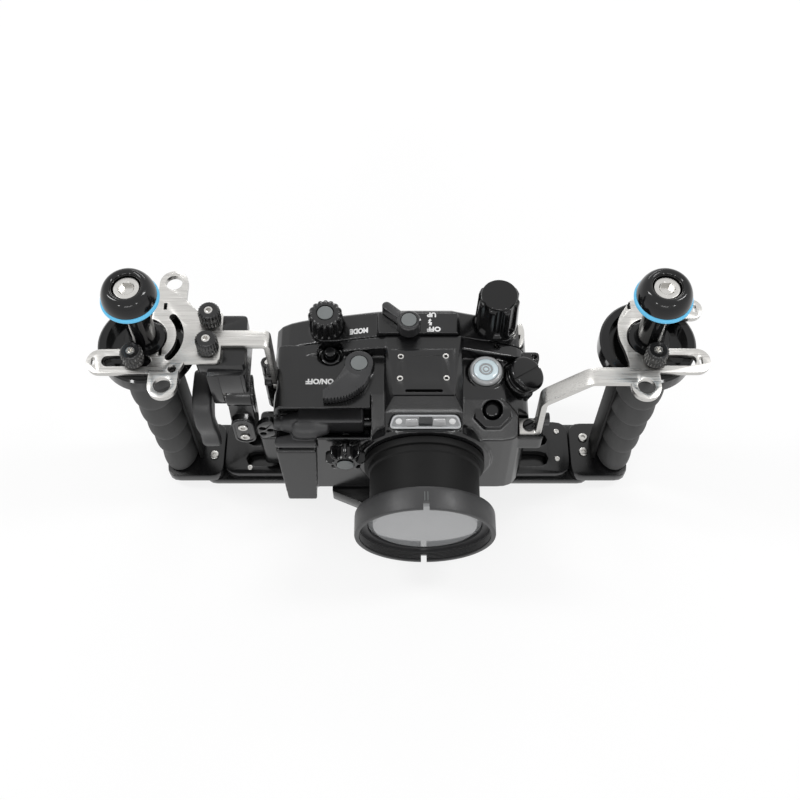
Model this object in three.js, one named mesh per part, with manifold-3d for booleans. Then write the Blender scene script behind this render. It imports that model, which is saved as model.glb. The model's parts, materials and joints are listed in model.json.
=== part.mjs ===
// Underwater camera housing with tray, two handles, ball mounts, stainless braces and a finger trigger.
// Millimetres. +Z is up, the port faces -Y, X = 0 lies midway between the two handles, and the tray's
// underside is z = 0.
import * as THREE from 'three';
import { mergeVertices } from 'three/addons/utils/BufferGeometryUtils.js';
import Module from 'manifold-3d';

const wasm = await Module();
wasm.setup();

// Driving dimensions
const gap = 0.3;          // clearance between neighbouring pieces
const overrun = 2;        // how far a cutter runs past the face that it opens
const merge = 1e-4;       // points closer than this are one point

const tray = {
  halfLength: 107.7, front: -26.5, rear: 9, thickness: 4.7, corner: 6,
  tongueHalf: 36, tongueTipHalf: 16.3, tongueShoulder: -35.7, tongueFront: -44.2, tongueCorner: 1,
  plateHalf: 97, plateFront: -25, plateRear: 8, plateThickness: 5, plateCorner: 8,
  slotMargin: 12, slotLength: 19, slotNearY: -15.5, slotNearRadius: 4.7, slotFarY: -3.6, slotFarRadius: 3.7,
};
const plateTop = tray.thickness + gap + tray.plateThickness;

const handle = {
  x: 121.5, y: -5, footThickness: 6, footInner: 97.3, footOuter: 128.5, footFront: -27, footRear: 6.5,
  footCorner: 7, gripY: -9.3, gripHeight: 96.4, gripTopHalfWidth: 12.2, gripBottomHalfWidth: 9.4,
  gripDepthRatioShare: 1.5, spineGap: 0.6, spineThickness: 3.2, spineFront: -16, spineRear: 6, spineCorner: 1.5,
  headRadius: 23.3, headThickness: 9.5, headBoss: 11.6, headRim: 2.9, pocketDepth: 6, headEdge: 1,
};
const ringHeightShares = [0.25, 0.18, 0.18, 0.195, 0.195];
const footTop = tray.thickness + gap + handle.footThickness;
const gripBottom = footTop + gap;
const gripTop = gripBottom + handle.gripHeight;
const headBottom = gripTop + gap;
const headTop = headBottom + handle.headThickness;

const ball = {
  radius: 12.7, centreHeight: 38, stemRadius: 6.5, flangeRadius: 10, flangeThickness: 2.2, coneRadius: 6.9,
  coneHeight: 10, boreRadius: 6.9, boreDepth: 7.6, boltRadius: 6.2, boltHeight: 4.1, socketRadius: 3.6,
  socketDepth: 2.6, boreRound: 2.6, browHeight: 0.3, grooveDrop: 1.8, ringSection: 1.35, ringCentre: 12.15,
};
const ballZ = headTop + ball.centreHeight;

const brace = {
  thickness: 2.8, bendRadius: 3, notchRadius: 10.9, loopRadius: 7, loopHole: 4.15, armHalf: 6.6,
  slotRadius: 3, windowWidth: 1.7, windowLength: 4, strapFront: -9.6, strapRear: -1,
};
const braceBottom = headTop + gap;
const braceTop = braceBottom + brace.thickness;

const screw = { radius: 5.4, height: 9.4, shankRadius: 2.3, shankDepth: 6, teeth: 14, toothDepth: 0.45, edge: 0.8 };

const shell = {
  left: -62.6, right: 68, front: -34, seam: 12.2, bottom: plateTop + gap, deckLeft: 86, deckRight: 84,
  corner: 9, shoulderX: 54, shoulderZ: 71.5, rimLeft: -64, rimDepth: 6.7, rimTop: 95,
  frontRound: 14, frontLeftRound: 4, bayLeft: -56.6, bayRight: 62, bayBottom: 15.2,
  bayTop: 76, bayLowTop: 57.5, bayFront: -28, bayStep: -10, bayCorner: 6, slopeFootZ: 68, slopeHeadY: -16,
};
const rim = {
  dropLow: 1.6, dropMid: 4, dropHigh: 8.6, leftMidX: -25, leftLowX: -48, leftDrop: 15.5, shoulderX: 64, shoulderDrop: 11, rightDrop: 22,
};
const hump = {
  left: -6, right: 33, top: 95, topFront: -21, noseTop: 89, noseFront: -27.2, windowTop: 87.6, windowFront: -28.4,
  chinTop: 78.6, chinFront: -34, root: 66, wall: 4.5, roof: 5,
  recessHalf: 7.2, recessX: 13.4, recessY: -6.3, recessDepth: 0.7, slotHalf: 9.2, slotY: -19.2, slotWidth: 1.5, leftTaper: 5.6, rightTaper: 5,
};
const flashWindow = { halfTop: 16.2, halfBottom: 18.4, height: 8, thickness: 2.4, corner: 3, shift: 0.8 };

const port = {
  x: 14.2, z: 47, collarRadius: 35.3, collarFront: -36, flangeRadius: 31.5, flangeThickness: 3.7,
  barrelRadius: 28.5, barrelBore: 25, barrelFront: -65.7, ringRadius: 36, ringBore: 33.5, ringFront: -78,
  webThickness: 2.3, glassRadius: 29, glassFace: 26, glassThickness: 4.2, notchWidth: 3, notchDepth: 4,
  edge: 0.8, barrelStep: 0.9, barrelStepLength: 3,
};

const seamGap = 0.3;
const door = {
  front: shell.seam + seamGap, rear: 29, wall: 3.5, blockTop: 97.5, blockLeft: -10, blockRight: 31.5, blockRear: 25,
  edge: 2, lip: 3, lipDepth: 3, sealGroove: 1.6, sealWidth: 1.4, sealInset: 0.4,
  windowLeft: -27, windowRight: 57, windowBottom: 20, windowTop: 70, windowCorner: 5, ledge: 2.5, ledgeDepth: 2.4,
  flashSetback: 1.2,
};
const hinge = { x: -69, y: 13, pinRadius: 1.5, knuckleRadius: 3.6, bottom: 24, top: 68, earLength: 9 };

const latch = {
  x: 51, y: 22.5, knobBottom: 90.3, knobTop: 117, knobRadius: 11, knobTopRadius: 9.7, flutes: 10, fluteDepth: 1.1,
  stemRadius: 2.6, hookBottom: 78.5, hookTop: 81.6, hookInner: 13.5, hookOuter: 15.7, hookHub: 5.6,
  keeperDistance: 11.8, keeperRadius: 1.2, pocketGap: 0.4, bossRadius: 11.6, skirt: 3,
};
const latchShares = { hookStart: -35 / 180, hookEnd: 22 / 180, armStart: -5 / 180, fluteRound: 0.6 };

const modeKnob = { x: -36.5, y: 21, radius: 8.85, top: 103, height: 13, lobes: 14, lobeDepth: 0.75, cap: 4.1, edge: 1 };
modeKnob.bottom = modeKnob.top - modeKnob.height;
const flashLever = { x: 6, y: 14, radius: 6, bottom: 97.9, top: 105.4, reach: 15, heading: 139, armHalf: 2.3, cap: 4, edge: 0.8 };
const zoomLever = {
  x: -19.2, y: -2, radius: 7.2, bottom: 87.3, top: 92, cap: 4.35, tipX: -36.6, tipY: -25.6, tipWidth: 5.8,
  bellyX: -14.7, bellyY: -22.4, teeth: 12, toothDepth: 0.8, innerX: -29.4, innerY: -9.6, elbowX: -33.8, elbowY: -15.7,
  edge: 0.6,
};
const powerButton = { x: -34.2, y: 7, radius: 3, recess: 6.8, floor: 82, bush: 5.2, bushHeight: 1.8, top: 88.4, travel: 1.5 };
const stem = { radius: 1.7, clearance: 0.3, length: 9 };

const frontKnob = {
  portClearance: 1.6, heading: 159.7, radius: 10.2, back: -36.6, front: -45, hub: 6.4, fins: 8, finHalf: 1.35, cap: 4.4, edge: 0.8,
};
placeFrontKnob();
const lockButton = {
  x: 48.4, y: -22.4, z: 79.6, tilt: 28, boss: 10.2, recess: 5.1, depth: 7, radius: 4.4, length: 3.6, travel: 1.5,
};
const indicator = { x: 45.2, y: -3.3, radius: 8.2, seat: 9.6, seatHeight: 1, height: 4, rim: 1.2 };
const plug = {
  x: 62.4, y: -3.6, z: 75.8, tilt: 27, boss: 10.6, bossHeight: 3.4, collar: 8.8, collarHeight: 4.2, neck: 7.6,
  neckHeight: 2, cap: 9.7, capHeight: 4, slotWidth: 2.4, slotDepth: 1.8, slotTurn: 25, bore: 5.4, edge: 0.7,
};

const shutter = {
  y: -25, z: 70, radius: 6.4, left: -58.4, right: -16, neckLeft: -63, neckRadius: 3, paddleLeft: -61.8,
  paddleRight: -41.6, paddleTop: 75.5, paddleFront: -36.2, lipBottom: 65, lipDepth: 2.4, edge: 1.6, recessGap: 1.2,
  paddleFloor: 61.7, recessBack: -16.2, roofFront: -24.4, wallTop: 70, recessRight: -13.5, webReach: 7.5, webTop: 74, pinRadius: 1.6, pinEnd: -10.6,
};
const yoke = { left: -72.1, right: -63.2, back: -22.6, thickness: 3.2, bottom: 54.5, top: 73.2, hole: 1.8, corner: 2.4 };

const trigger = {
  y: -14, drop: 32.5, shaftRadius: 3, shaftLeft: -99.6, shaftRight: -75, leverX: -97.4, leverWidth: 9.6,
  hub: 7.4, leverRear: -5, leverFront: -30.6, leverLength: 46, cheekLeft: -91.6, cheekRight: -86.2,
  armLeft: -85.4, armRight: -73.2, armHub: 8, armEndY: -17.4, armEndZ: 58, armEndRadius: 6, padRadius: 5.9,
  padLow: 55.4, padHigh: 68.6, padFront: -25.4, padBack: -19,
  leverRound: 4, leverEdge: 1.2,
};
trigger.z = headTop - trigger.drop;
const block = {
  left: -96.4, right: -73, front: -19, rear: 9.5, flangeThickness: 7.5, bridgeDepth: 14.6, bridgeFront: -21.4,
  bridgeRear: 7.5, cheekDrop: 7, corner: 2.5,
};
block.flangeBottom = headTop - block.flangeThickness;
block.bridgeBottom = block.flangeBottom - block.bridgeDepth;
block.cheekBottom = trigger.z - block.cheekDrop;
const bearingScrew = { x: -90.2, rearY: 4.5, frontY: -11.4 };
const bearingScrewYs = [bearingScrew.rearY, bearingScrew.frontY];

const bump = { left: -62.4, right: -41.6, bottomFront: -41, topFront: -36.6, top: 61, edge: 1.6, taper: 2.6 };
const sideLug = { left: -74, front: -20, rear: -3, bottom: 12, top: 44, corner: 3 };
const braceLug = { right: 75, front: -32, rear: -20.4, bottom: 55, corner: 2 };
const ear = { right: 74, front: 6.4, bottom: 74.5, top: 79.5, hole: 1.4 };
const braceSeat = { right: -60.9, front: -14, rear: 1.6 };
const peg = {
  left: { radius: 2.1, height: 3.8 }, right: { radius: 3.3, height: 3.2 }, shank: 1.1, shankLength: 4,
};
const leftBrace = {
  rearLoopX: -110.4, rearLoopY: 27, frontLoopX: -110.5, frontLoopY: -31.4, armY: -18.3, armTip: -141.2,
  armRoot: -108, slotStart: -137.6, slotEnd: -120, clampX: -124.9, bodyLeft: -119, bodyRight: -84.4,
  bodyRear: 17.5, bodyFront: -18.6, shoulderX: -103.6, waistX: -97, waistY: 9.6, heelX: -103.4, heelY: -25,
  arcRadius: 17, arcWidth: 3.7, arcHalfAngle: 42, earRadius: 2.1, earX: -106.6, earY: -22.6,
  windowX: -113.2, windowRearY: 13, windowFrontY: -13.2, tipWindowX: -144.6,
  legX: -62.7, legBottom: 70.4, legTaper: 5.4,
};
const rightBrace = {
  rearArmX: 143.4, rearArmY: 11.6, rearArmHalf: 5.7, armY: -17.9, armTip: 142.7, armRoot: 118, slotStart: 122.6,
  slotEnd: 139.6, clampX: 122.6, loopX: 117.4, loopY: -32, armFront: -30.4, armRear: -21.9, elbowX: 92.5,
  legX: 72.1, legTop: 99, footZ: 68.5, footEnd: 62.6, pegZ: 77, seatGap: 1,
  crescentLeft: 106.8, crescentMid: -2, hipX: 109.4, hipY: -13, rootX: 111, rearX: 114.6, rearY: 17.3,
};
braceLug.top = rightBrace.footZ - brace.thickness / 2 - gap;
const saddle = { left: -40, right: 46, front: -24, rear: 9, thickness: 3, corner: 5, screwRadius: 3.2, bootHeight: 5, boot: 5 };

const rear = { x: -45, z: 45, dial: 8.6, dialDepth: 5.2, dialTeeth: 14, toothDepth: 0.5, button: 3.3, buttonOut: 3,
  recess: 3.7, recessDepth: 2, spreadX: 9.4, spreadZ: 17, travel: 1.2 };

// Shared finishes
const finishes = {
  anodised: { color: 0x1c1c1e, roughness: 0.42, metalness: 0.6 },
  gloss: { color: 0x0a0a0b, roughness: 0.16, metalness: 0.5 },
  plastic: { color: 0x222224, roughness: 0.55, metalness: 0 },
  rubber: { color: 0x2e2f31, roughness: 0.82, metalness: 0 },
  steel: { color: 0xb9b7b2, roughness: 0.32, metalness: 1 },
  capGrey: { color: 0x8c8f8e, roughness: 0.5, metalness: 0.1 },
  blue: { color: 0x31a8dd, roughness: 0.5, metalness: 0 },
  clear: { color: 0xc9d2d4, roughness: 0.08, metalness: 0 },
  lens: { color: 0x8f9395, roughness: 0.06, metalness: 0 },
};

function placeFrontKnob() {
  // The wheel stands clear of the port's flange.
  const reach = port.flangeRadius + frontKnob.radius + frontKnob.portClearance;
  const angle = (frontKnob.heading * Math.PI) / 180;
  frontKnob.x = port.x + reach * Math.cos(angle);
  frontKnob.z = port.z + reach * Math.sin(angle);
}

const housing = new THREE.Group();
const radians = (degrees) => (degrees * Math.PI) / 180;

// Turning three.js geometry into solids and back

function solid(geometry) {
  const bare = geometry.clone();
  bare.deleteAttribute('normal');
  bare.deleteAttribute('uv');
  const joined = mergeVertices(bare, merge);
  const index = joined.index.array;
  const corners = [];
  for (let i = 0; i < index.length; i += 3) {
    const [a, b, c] = [index[i], index[i + 1], index[i + 2]];
    if (a !== b && b !== c && c !== a) corners.push(a, b, c);
  }
  const points = Float32Array.from(joined.attributes.position.array);
  if (signedVolume(points, corners) < 0) corners.reverse();
  return new wasm.Manifold(new wasm.Mesh({
    numProp: 3, vertProperties: points, triVerts: Uint32Array.from(corners),
  }));
}

function signedVolume(points, corners) {
  let six = 0;
  for (let i = 0; i < corners.length; i += 3) {
    const [a, b, c] = [corners[i] * 3, corners[i + 1] * 3, corners[i + 2] * 3];
    six += points[a] * (points[b + 1] * points[c + 2] - points[b + 2] * points[c + 1]);
    six += points[a + 1] * (points[b + 2] * points[c] - points[b] * points[c + 2]);
    six += points[a + 2] * (points[b] * points[c + 1] - points[b + 1] * points[c]);
  }
  return six;
}

function toGeometry(shape) {
  const mesh = shape.simplify(merge).getMesh();
  const geometry = new THREE.BufferGeometry();
  const positions = new Float32Array(mesh.numVert * 3);
  for (let i = 0; i < mesh.numVert; i += 1) {
    for (let k = 0; k < 3; k += 1) positions[i * 3 + k] = mesh.vertProperties[i * mesh.numProp + k];
  }
  geometry.setAttribute('position', new THREE.BufferAttribute(positions, 3));
  geometry.setIndex(Array.from(mesh.triVerts));
  geometry.computeVertexNormals();
  return geometry;
}

function addPiece(name, shape, finish) {
  const material = new THREE.MeshStandardMaterial(finishes[finish]);
  const mesh = new THREE.Mesh(toGeometry(shape), material);
  mesh.name = name;
  housing.add(mesh);
  return mesh;
}

const join = (...shapes) => shapes.reduce((whole, next) => whole.add(next));
const cut = (whole, ...cutters) => cutters.reduce((rest, next) => rest.subtract(next), whole);

// Outlines

function outline(points, radius = 0) {
  // Each corner is rounded by its own radius, or by the one given for them all.
  const shape = new THREE.Shape();
  const count = points.length;
  points.forEach((point, i) => {
    const corner = new THREE.Vector2(point[0], point[1]);
    const before = new THREE.Vector2(...points[(i + count - 1) % count]);
    const after = new THREE.Vector2(...points[(i + 1) % count]);
    const wanted = point.length > 2 ? point[2] : radius;
    const reach = Math.min(wanted, before.distanceTo(corner) / 2, after.distanceTo(corner) / 2);
    const start = corner.clone().lerp(before, reach / before.distanceTo(corner));
    const end = corner.clone().lerp(after, reach / after.distanceTo(corner));
    if (i === 0) shape.moveTo(start.x, start.y);
    else shape.lineTo(start.x, start.y);
    if (reach > 0) shape.quadraticCurveTo(corner.x, corner.y, end.x, end.y);
  });
  return shape;
}

const rectangle = (left, right, low, high, radius = 0) => outline(
  [[left, low], [right, low], [right, high], [left, high]], radius);

function circle(x, y, radius) {
  const shape = new THREE.Shape();
  shape.absarc(x, y, radius, 0, Math.PI * 2, false);
  return shape;
}

function stadium(x0, y0, x1, y1, radius) {
  const along = Math.atan2(y1 - y0, x1 - x0);
  const shape = new THREE.Shape();
  shape.absarc(x1, y1, radius, along - Math.PI / 2, along + Math.PI / 2, false);
  shape.absarc(x0, y0, radius, along + Math.PI / 2, along + Math.PI * 1.5, false);
  return shape;
}

function lobed(radius, depth, count, steps) {
  // Round outline whose radius dips by the depth between neighbouring lobes.
  const points = [];
  const total = count * steps;
  for (let i = 0; i < total; i += 1) {
    const angle = (i / total) * Math.PI * 2;
    const dip = Math.abs(Math.sin((angle * count) / 2));
    const reach = radius - depth * (1 - dip);
    points.push(new THREE.Vector2(reach * Math.cos(angle), reach * Math.sin(angle)));
  }
  return new THREE.Shape(points);
}

function sector(inner, outer, start, end) {
  const shape = new THREE.Shape();
  shape.absarc(0, 0, outer, start, end, false);
  shape.absarc(0, 0, inner, end, start, true);
  return shape;
}

// Prisms along each axis. The bevel lies inside the outline, at both ends.

function prism(shape, depth, { bevel = 0, curve = 4, rounds = 1 } = {}) {
  const geometry = new THREE.ExtrudeGeometry(shape, {
    depth: depth - bevel * 2, curveSegments: curve, bevelEnabled: bevel > 0, bevelThickness: bevel,
    bevelSize: bevel, bevelOffset: -bevel, bevelSegments: rounds,
  });
  return geometry.translate(0, 0, bevel);
}

const upright = (shape, low, high, options) => solid(prism(shape, high - low, options).translate(0, 0, low));

function frontal(shape, front, back, options) {
  // The outline is drawn in X and Z.
  return solid(prism(shape, back - front, options).rotateX(Math.PI / 2).translate(0, back, 0));
}

function lateral(shape, left, right, options) {
  // The outline is drawn in Y and Z.
  const geometry = prism(shape, right - left, options);
  geometry.applyMatrix4(new THREE.Matrix4().set(0, 0, 1, left, 1, 0, 0, 0, 0, 1, 0, 0, 0, 0, 0, 1));
  return solid(geometry);
}

const box = (x0, x1, y0, y1, z0, z1) => upright(rectangle(x0, x1, y0, y1), z0, z1);

function turned(profile, segments = 24) {
  const points = profile.map(([radius, height]) => new THREE.Vector2(radius, height));
  return new THREE.LatheGeometry(points, segments).rotateX(Math.PI / 2);
}

const turnedUp = (profile, x, y, segments) => solid(turned(profile, segments).translate(x, y, 0));

function turnedForward(profile, x, z, segments) {
  // The profile's heights are read as distances along -Y.
  return solid(turned(profile, segments).rotateX(Math.PI / 2).translate(x, 0, z));
}

const drum = (radius, low, high, edge = 0) => (edge > 0
  ? [[0, low], [radius, low], [radius, high - edge], [radius - edge, high], [0, high]]
  : [[0, low], [radius, low], [radius, high], [0, high]]);

const peak = (list) => Math.max(...list);

// Tray

function traySlots() {
  const cutters = [];
  for (const side of [-1, 1]) {
    for (const [y, radius] of [[tray.slotNearY, tray.slotNearRadius], [tray.slotFarY, tray.slotFarRadius]]) {
      const inner = side * (tray.plateHalf - tray.slotMargin - tray.slotLength + radius);
      const outer = side * (tray.plateHalf - tray.slotMargin - radius);
      const slot = stadium(Math.min(inner, outer), y, Math.max(inner, outer), y, radius);
      cutters.push(upright(slot, tray.thickness, plateTop + overrun, { curve: 2 }));
    }
  }
  return cutters;
}

function trayBasePlate() {
  const slab = upright(rectangle(-tray.halfLength, tray.halfLength, tray.front, tray.rear, tray.corner), 0,
    tray.thickness);
  const tongueRoot = tray.plateFront - gap;
  const tongue = upright(outline([
    [-tray.tongueHalf, tongueRoot], [-tray.tongueHalf, tray.tongueShoulder, tray.tongueCorner],
    [-tray.tongueTipHalf, tray.tongueFront, tray.tongueCorner], [tray.tongueTipHalf, tray.tongueFront, tray.tongueCorner],
    [tray.tongueHalf, tray.tongueShoulder, tray.tongueCorner], [tray.tongueHalf, tongueRoot],
  ]), 0, plateTop);
  return join(slab, tongue);
}

function trayTopPlate() {
  const bottom = tray.thickness + gap;
  const plan = rectangle(-tray.plateHalf, tray.plateHalf, tray.plateFront, tray.plateRear, tray.plateCorner);
  return cut(upright(plan, bottom, plateTop, { bevel: gap }), ...traySlots());
}

addPiece('tray_base_plate', trayBasePlate(), 'anodised');
addPiece('tray_top_plate', trayTopPlate(), 'anodised');

// Handles: foot, flat spine, stacked-ring rubber grip and milled head

function handleFoot(side) {
  const [near, far] = [side * handle.footInner, side * handle.footOuter];
  const plan = rectangle(Math.min(near, far), peak([near, far]), handle.footFront, handle.footRear, handle.footCorner);
  return upright(plan, tray.thickness + gap, footTop, { bevel: gap });
}

function handleSpine(side) {
  const outer = handle.x - handle.gripTopHalfWidth - handle.spineGap;
  const [near, far] = [side * (outer - handle.spineThickness), side * outer];
  const plan = rectangle(Math.min(near, far), peak([near, far]), handle.spineFront, handle.spineRear,
    handle.spineCorner);
  return upright(plan, gripBottom, gripTop, { curve: 2 });
}

function gripProfile() {
  // Each ring swells low down and tucks in at its top, under the wider foot of the ring above.
  const [lowShare, bellyShare, tuckShare] = [0.95, 0.45, 0.88];
  const points = [[0, gripBottom]];
  let z = gripBottom;
  ringHeightShares.forEach((share, i) => {
    const height = handle.gripHeight * share;
    const grown = i / (ringHeightShares.length - 1);
    const radius = THREE.MathUtils.lerp(handle.gripBottomHalfWidth, handle.gripTopHalfWidth, grown);
    points.push([radius * lowShare, z], [radius, z + height * bellyShare]);
    points.push([radius * tuckShare, z + height]);
    z += height;
  });
  points.push([0, gripTop]);
  return points;
}

function handleGrip(side) {
  const grip = turned(gripProfile(), 16).scale(1, handle.gripDepthRatioShare, 1);
  return solid(grip.translate(side * handle.x, handle.gripY, 0));
}

function handleHead(side) {
  // The pockets leave a rim, a central boss and three curved ribs. The front rib takes the clamp screw.
  const x = side * handle.x;
  const head = turnedUp(drum(handle.headRadius, headBottom, headTop, handle.headEdge), x, handle.y, 28);
  const outer = handle.headRadius - handle.headRim;
  const pockets = [[-48, 46], [62, 158], [174, 232]].map(([start, end]) => {
    const shape = sector(handle.headBoss, outer, radians(start), radians(end));
    const geometry = prism(shape, handle.pocketDepth + overrun, { curve: 3 });
    return solid(geometry.translate(x, handle.y, headTop - handle.pocketDepth));
  });
  const [screwX, screwY] = clampAt(side);
  const hole = turnedUp(drum(screw.shankRadius + gap, headTop - screw.shankDepth - gap, headTop + overrun),
    screwX, screwY, 10);
  return cut(head, ...pockets, hole);
}

// Ball mounts

function ballTop() {
  return ballZ + Math.sqrt(ball.radius ** 2 - (ball.boreRadius + ball.boreRound) ** 2);
}

function ballMount(side) {
  const groove = ballZ - ball.grooveDrop;
  const half = ball.ringSection + gap / 2;
  const grooveRadius = ball.ringCentre - ball.ringSection - gap / 2;
  const onBall = (height) => [Math.sqrt(ball.radius ** 2 - (height - ballZ) ** 2), height];
  const topHeight = ballTop();
  const stemTop = ballZ - Math.sqrt(ball.radius ** 2 - ball.stemRadius ** 2);
  const foot = headTop + gap;
  const [lowShare, highShare] = [0.5, 0.55];
  const profile = [
    [0, foot], [ball.flangeRadius, foot], [ball.flangeRadius, foot + ball.flangeThickness],
    [ball.coneRadius, foot + ball.flangeThickness], [ball.stemRadius, foot + ball.coneHeight],
    [ball.stemRadius, stemTop], onBall(THREE.MathUtils.lerp(stemTop, groove - half, lowShare)),
    onBall(groove - half), [grooveRadius, groove - half],
    [grooveRadius, groove + half], onBall(groove + half),
    onBall(THREE.MathUtils.lerp(groove + half, topHeight, highShare)), onBall(topHeight),
    [ball.boreRadius + ball.boreRound * highShare, topHeight + ball.browHeight],
    [ball.boreRadius, topHeight - ball.boreRound * lowShare],
    [ball.boreRadius, topHeight - ball.boreDepth], [0, topHeight - ball.boreDepth],
  ];
  return turnedUp(profile, side * handle.x, handle.y, 16);
}

function ballRing(side) {
  const centre = ballZ - ball.grooveDrop;
  const profile = [];
  const sides = 6;
  for (let i = 0; i <= sides; i += 1) {
    const angle = ((i + 0.5) / sides) * Math.PI * 2;
    profile.push([ball.ringCentre + ball.ringSection * Math.cos(angle), centre + ball.ringSection * Math.sin(angle)]);
  }
  return turnedUp(profile, side * handle.x, handle.y, 16);
}

function ballBolt(side) {
  const seat = ballTop() - ball.boreDepth + gap;
  const top = seat + ball.boltHeight;
  const head = turnedUp(drum(ball.boltRadius, seat, top, gap), side * handle.x, handle.y, 18);
  const socket = turnedUp(drum(ball.socketRadius, top - ball.socketDepth, top + overrun), side * handle.x, handle.y, 6);
  return cut(head, socket);
}

// Stainless braces, cut from sheet and bent

function clampAt(side) {
  return side < 0 ? [leftBrace.clampX, leftBrace.armY] : [rightBrace.clampX, rightBrace.armY];
}

const sheet = (shape) => upright(shape, braceBottom, braceTop, { curve: 2 });

const hole = (shape, curve = 2) => upright(shape, braceBottom - overrun, braceTop + overrun, { curve });

const slit = (x, y) => rectangle(x - brace.windowWidth / 2, x + brace.windowWidth / 2,
  y - brace.windowLength / 2, y + brace.windowLength / 2);

function roundSlot(centreX, centreY, radius, width, start, end) {
  const shape = new THREE.Shape();
  shape.absarc(centreX, centreY, radius + width / 2, start, end, false);
  shape.absarc(centreX + radius * Math.cos(end), centreY + radius * Math.sin(end), width / 2, end, end + Math.PI, false);
  shape.absarc(centreX, centreY, radius - width / 2, end, start, true);
  shape.absarc(centreX + radius * Math.cos(start), centreY + radius * Math.sin(start), width / 2, start + Math.PI,
    start + Math.PI * 2, false);
  return shape;
}

function strip(points, thickness, bend) {
  // A sheet seen on edge: the line of its middle, given half its thickness to each side.
  const left = [];
  const right = [];
  const half = thickness / 2;
  points.forEach((point, i) => {
    const here = new THREE.Vector2(...point);
    const before = new THREE.Vector2(...points[Math.max(i - 1, 0)]);
    const after = new THREE.Vector2(...points[Math.min(i + 1, points.length - 1)]);
    const arriving = here.clone().sub(before).normalize();
    const leaving = after.clone().sub(here).normalize();
    if (i === 0) arriving.copy(leaving);
    if (i === points.length - 1) leaving.copy(arriving);
    const across = arriving.clone().add(leaving).normalize();
    const reach = half / Math.max(across.dot(arriving), merge);
    const inner = i > 0 && i < points.length - 1 ? bend : 0;
    left.push([here.x - across.y * reach, here.y + across.x * reach, inner]);
    right.push([here.x + across.y * reach, here.y - across.x * reach, inner]);
  });
  return outline([...left, ...right.reverse()]);
}

function leftBracket() {
  const b = leftBrace;
  const body = outline([
    [b.bodyLeft, b.heelY], [b.heelX, b.heelY, brace.bendRadius], [b.heelX, b.bodyFront, brace.bendRadius],
    [b.bodyRight, b.bodyFront, brace.bendRadius], [b.bodyRight, b.waistY, brace.bendRadius],
    [b.waistX, b.waistY, brace.bendRadius], [b.shoulderX, b.bodyRear, brace.bendRadius], [b.bodyLeft, b.bodyRear],
  ]);
  const level = (braceBottom + braceTop) / 2;
  const strap = frontal(strip([
    [b.bodyRight - brace.bendRadius, level], [b.legX, level], [b.legX, b.legBottom],
  ], brace.thickness, brace.bendRadius), brace.strapFront, brace.strapRear);
  const taper = lateral(outline([
    [brace.strapFront - overrun, b.legBottom - overrun], [brace.strapFront + b.legTaper, b.legBottom - overrun],
    [brace.strapFront, braceBottom], [brace.strapFront - overrun, braceBottom],
  ]), b.legX - brace.thickness, b.legX + brace.thickness);
  const plate = join(
    sheet(body),
    sheet(stadium(b.rearLoopX, b.bodyRear - brace.loopRadius, b.rearLoopX, b.rearLoopY, brace.loopRadius)),
    sheet(stadium(b.frontLoopX, b.frontLoopY, b.frontLoopX, b.armY, brace.loopRadius)),
    sheet(stadium(b.armTip, b.armY, b.armRoot, b.armY, brace.armHalf)),
    strap,
  );
  const arc = radians(b.arcHalfAngle);
  return cut(plate, taper,
    hole(circle(-handle.x, handle.y, brace.notchRadius), 8),
    hole(circle(b.rearLoopX, b.rearLoopY, brace.loopHole), 5),
    hole(circle(b.frontLoopX, b.frontLoopY, brace.loopHole), 5),
    hole(stadium(b.slotStart, b.armY, b.slotEnd, b.armY, brace.slotRadius)),
    hole(roundSlot(-handle.x, handle.y + gap, b.arcRadius, b.arcWidth, -arc, arc), 3),
    hole(slit(b.windowX, b.windowRearY)),
    hole(slit(b.windowX, b.windowFrontY)),
    hole(slit(b.tipWindowX, b.armY)),
    hole(circle(b.earX, b.earY, b.earRadius), 4),
    ...bearingScrewYs.map((y) => hole(circle(bearingScrew.x, y, screw.shankRadius + gap), 4)),
    frontalPeg(b.legX, brace.strapRear - brace.armHalf / 2, b.legBottom + brace.armHalf, peg.shank + gap));
}

function frontalPeg(x, y, z, radius) {
  // A bore or shank that lies along X.
  const shank = turned(drum(radius, -peg.shankLength, peg.shankLength), 10).rotateY(Math.PI / 2);
  return solid(shank.translate(x, y, z));
}

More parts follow.
